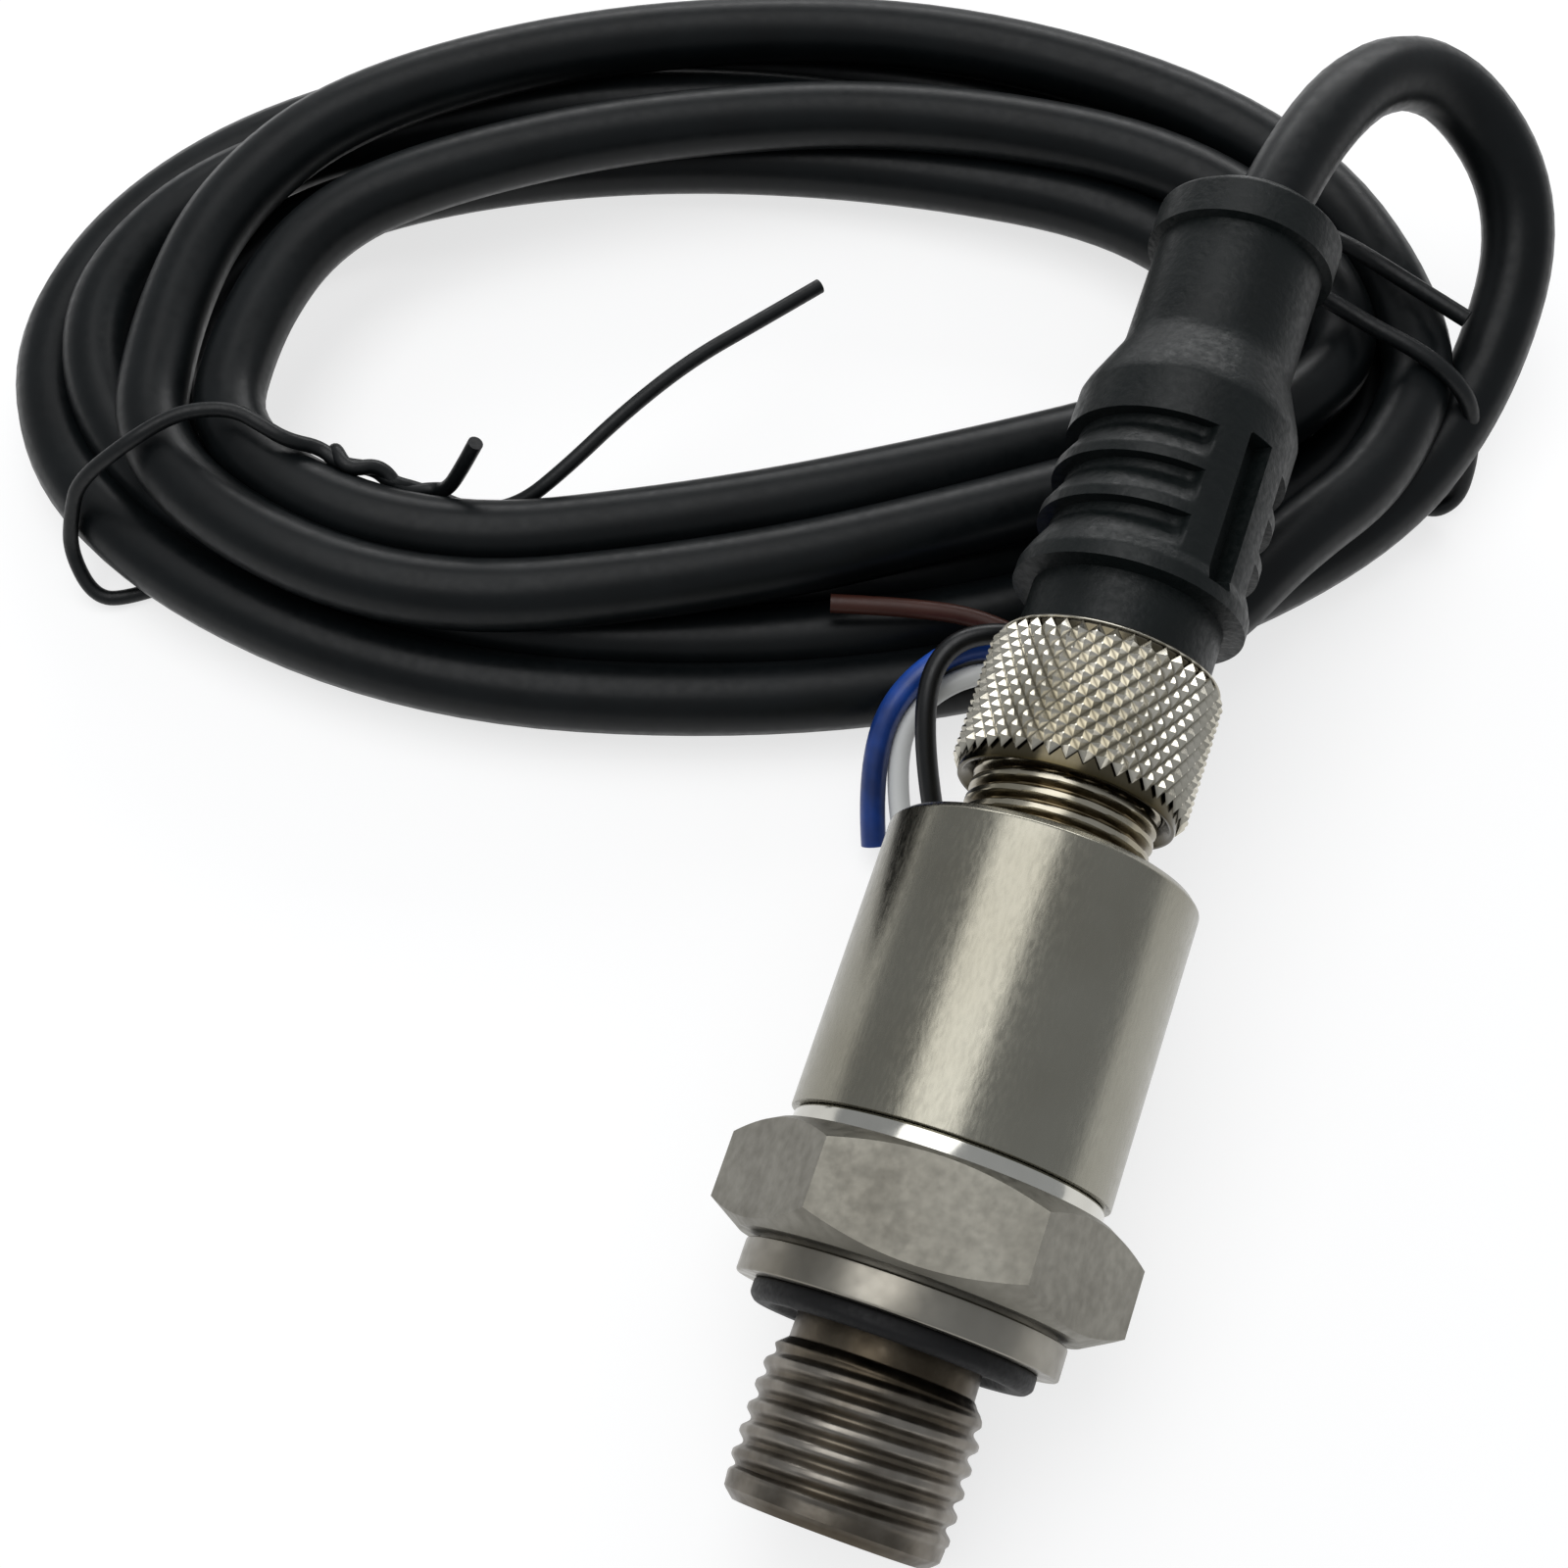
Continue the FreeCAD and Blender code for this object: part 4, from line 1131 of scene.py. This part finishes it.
@dataclass
class CouplingNut:
    """The knurled nut."""

    finishes: Finishes
    start: float = 45.4
    length: float = 9.7
    radius: float = 7.4
    rim: float = 7.0
    rim_width: float = 0.5
    bore: float = 6.05
    mouth: float = 0.7
    back: float = 1.6
    neck: float = 4.86
    knurl_height: float = 0.42
    knurl_root: float = 0.04
    knurl_sink: float = 0.02
    knurl_margin: float = 0.3
    band: float = 0.35
    crown: Pairs = ((0.1, 0.2), (0.3, 0.0))
    edge: float = 0.1

    def build(self) -> None:
        """Build the nut."""
        top = self.start + self.length
        bottom = self.start + self.rim_width
        ledge = top - self.back
        base = self.radius - self.knurl_height + self.knurl_root
        shell = Shell("knurled_nut")
        shell.turned(rounded([
            (self.bore + self.mouth, self.start), (self.rim, self.start), (base, bottom),
            (base, top - self.band),
            *((self.radius - inward, top - down) for inward, down in self.crown),
            (self.neck, top), (self.neck, ledge), (self.bore, ledge),
            (self.bore, self.start + self.mouth)], self.edge), self.finishes.nut)
        knurl = KnurlTree().mesh({
            "Radius": base + self.knurl_height / 2 - self.knurl_sink,
            "Height": self.knurl_height, "Foot": bottom,
            "Length": self.length - self.rim_width - self.knurl_margin})
        knurl.transform(AXIS.matrix())
        shell.bm.from_mesh(knurl)
        shell.finish(Body.COUPLING, "coupling_nut", "nut_plating", sharp=20.0)


@dataclass
class Grip:
    """The moulded grip with its thumb notches, slots and cuff."""

    finishes: Finishes
    turn: float = 41.6
    profile: Pairs = (
        (55.35, 6.3), (58.95, 6.3), (59.0, 7.65), (60.1, 7.65), (60.9, 7.35), (72.9, 7.35),
        (73.6, 7.15), (76.9, 5.8), (77.6, 5.65), (85.35, 5.65), (85.45, 6.3), (88.1, 6.3),
        (89.0, 5.2))
    inner: Pairs = (
        (2.9, 89.0), (2.65, 86.0), (2.65, 75.0), (0.02, 75.0), (0.02, 72.4), (4.7, 72.4),
        (4.7, 55.35))
    rows: Triples = (
        (55.35, 58.95, 0.6), (58.95, 60.9, 0.15), (60.9, 72.9, 0.15), (72.9, 77.7, 0.3),
        (77.7, 85.3, 0.8), (85.35, 89.0, 0.15))
    segments: int = 360
    notch_sweep: float = 129.0
    notch_fade: float = 7.0
    notches: Sequence[float] = (63.4, 66.6, 69.8)
    notch_depth: float = 0.85
    notch_flat: float = 0.7
    notch_rise: float = 1.75
    notch_lip: float = 0.02
    slot_width: float = 1.9
    slot_start: float = 60.1
    slot_length: float = 10.4
    slot_depth: float = 1.3

    def cut(self, angle: float, station: float) -> float:
        """Depth of the notches and the slot.

        Args:
            angle: angle round the axis in radians.
            station: station on the axis.

        Returns:
            The depth below the plain turned form, in millimetres.
        """
        degrees = (math.degrees(angle) - self.turn + 360) % 180
        away = min(degrees, 180 - degrees)
        across = math.radians(away) * between(self.profile, station)
        slot_end = self.slot_start + self.slot_length
        deep = 0.0
        if self.slot_start <= station <= slot_end and across <= self.slot_width / 2:
            deep = self.slot_depth
        inside = away - (180 - self.notch_sweep) / 2
        if inside > 0:
            fade = math.sqrt(1 - (1 - min(1.0, inside / self.notch_fade)) ** 2)
            for step in self.notches:
                low = step - self.notch_flat - self.notch_rise
                if low <= station <= step:
                    rise = (station - low) / self.notch_rise
                    deep = max(deep, self.notch_depth * min(1.0, rise) * fade)
        return deep

    def reach(self, angle: float, station: float) -> float:
        """Radius of the grip's skin at an angle and a station."""
        return between(self.profile, station) - self.cut(angle, station)

    def build(self) -> None:
        """Build the grip."""
        shell = Shell("moulded_grip")
        lips = {step + side * self.notch_lip for step in self.notches for side in (-1, 1)}
        stations = sorted({round(s, 3) for s in steps(*self.rows)} | lips)
        shell.surface(self.reach, stations, self.segments, self.inner, self.finishes.grip)
        shell.finish(Body.PLUG, "grip_body", "grip_plastic", sharp=40.0)


def dress_nodes(rubber: Material) -> None:
    """Give the solids that stay a finish of their own.

    Args:
        rubber: material of the seals.
    """
    looks = (
        (rubber, "sensor_o_ring", "insert_o_ring", "plug_face_seal"),
        (Metal("contact_gold", (0.75, 0.5, 0.18), (0.9, 0.68, 0.3), (0.15, 0.25)).make(),
         "contact_pins", "socket_contacts"),
        (Metal("tinned_wire", (0.6, 0.6, 0.58), (0.75, 0.75, 0.73), (0.2, 0.3)).make(),
         "sensor_leads", "board_leads"),
        (Metal("turned_ring", (0.45, 0.45, 0.44), (0.58, 0.58, 0.57), (0.25, 0.35)).make(),
         "clamp_ring"),
        (Plastic("white_alumina", (0.8, 0.79, 0.75), (0.35, 0.5), spread=0.05).make(),
         "sensor_cell"),
        (Plastic("green_board", (0.02, 0.14, 0.06), (0.3, 0.45)).make(), "circuit_board"),
        (Plastic("moulded_chip", (0.015, 0.015, 0.016), (0.5, 0.6)).make(), "board_chip"),
        (Plastic("tan_ceramic", (0.35, 0.24, 0.14), (0.4, 0.5)).make(), "board_capacitor"),
        (Plastic("moulded_insert", (0.02, 0.02, 0.021), (0.4, 0.55)).make(),
         "contact_insert", "plug_carrier"))
    for material, *names in looks:
        for name in names:
            mesh = frame["nodes"][name].data
            mesh.materials.clear()
            mesh.materials.append(material)


def main() -> None:
    """Build the studio and every piece."""
    logging.basicConfig(level=logging.INFO, format="%(name)s: %(message)s")
    Studio().build()
    finishes = Finishes()
    Cord(finishes).build()
    ProcessFitting(finishes).build()
    Housing(finishes).build()
    CouplingNut(finishes).build()
    Grip(finishes).build()
    dress_nodes(finishes.rubber)


if __name__ == "__main__":
    main()
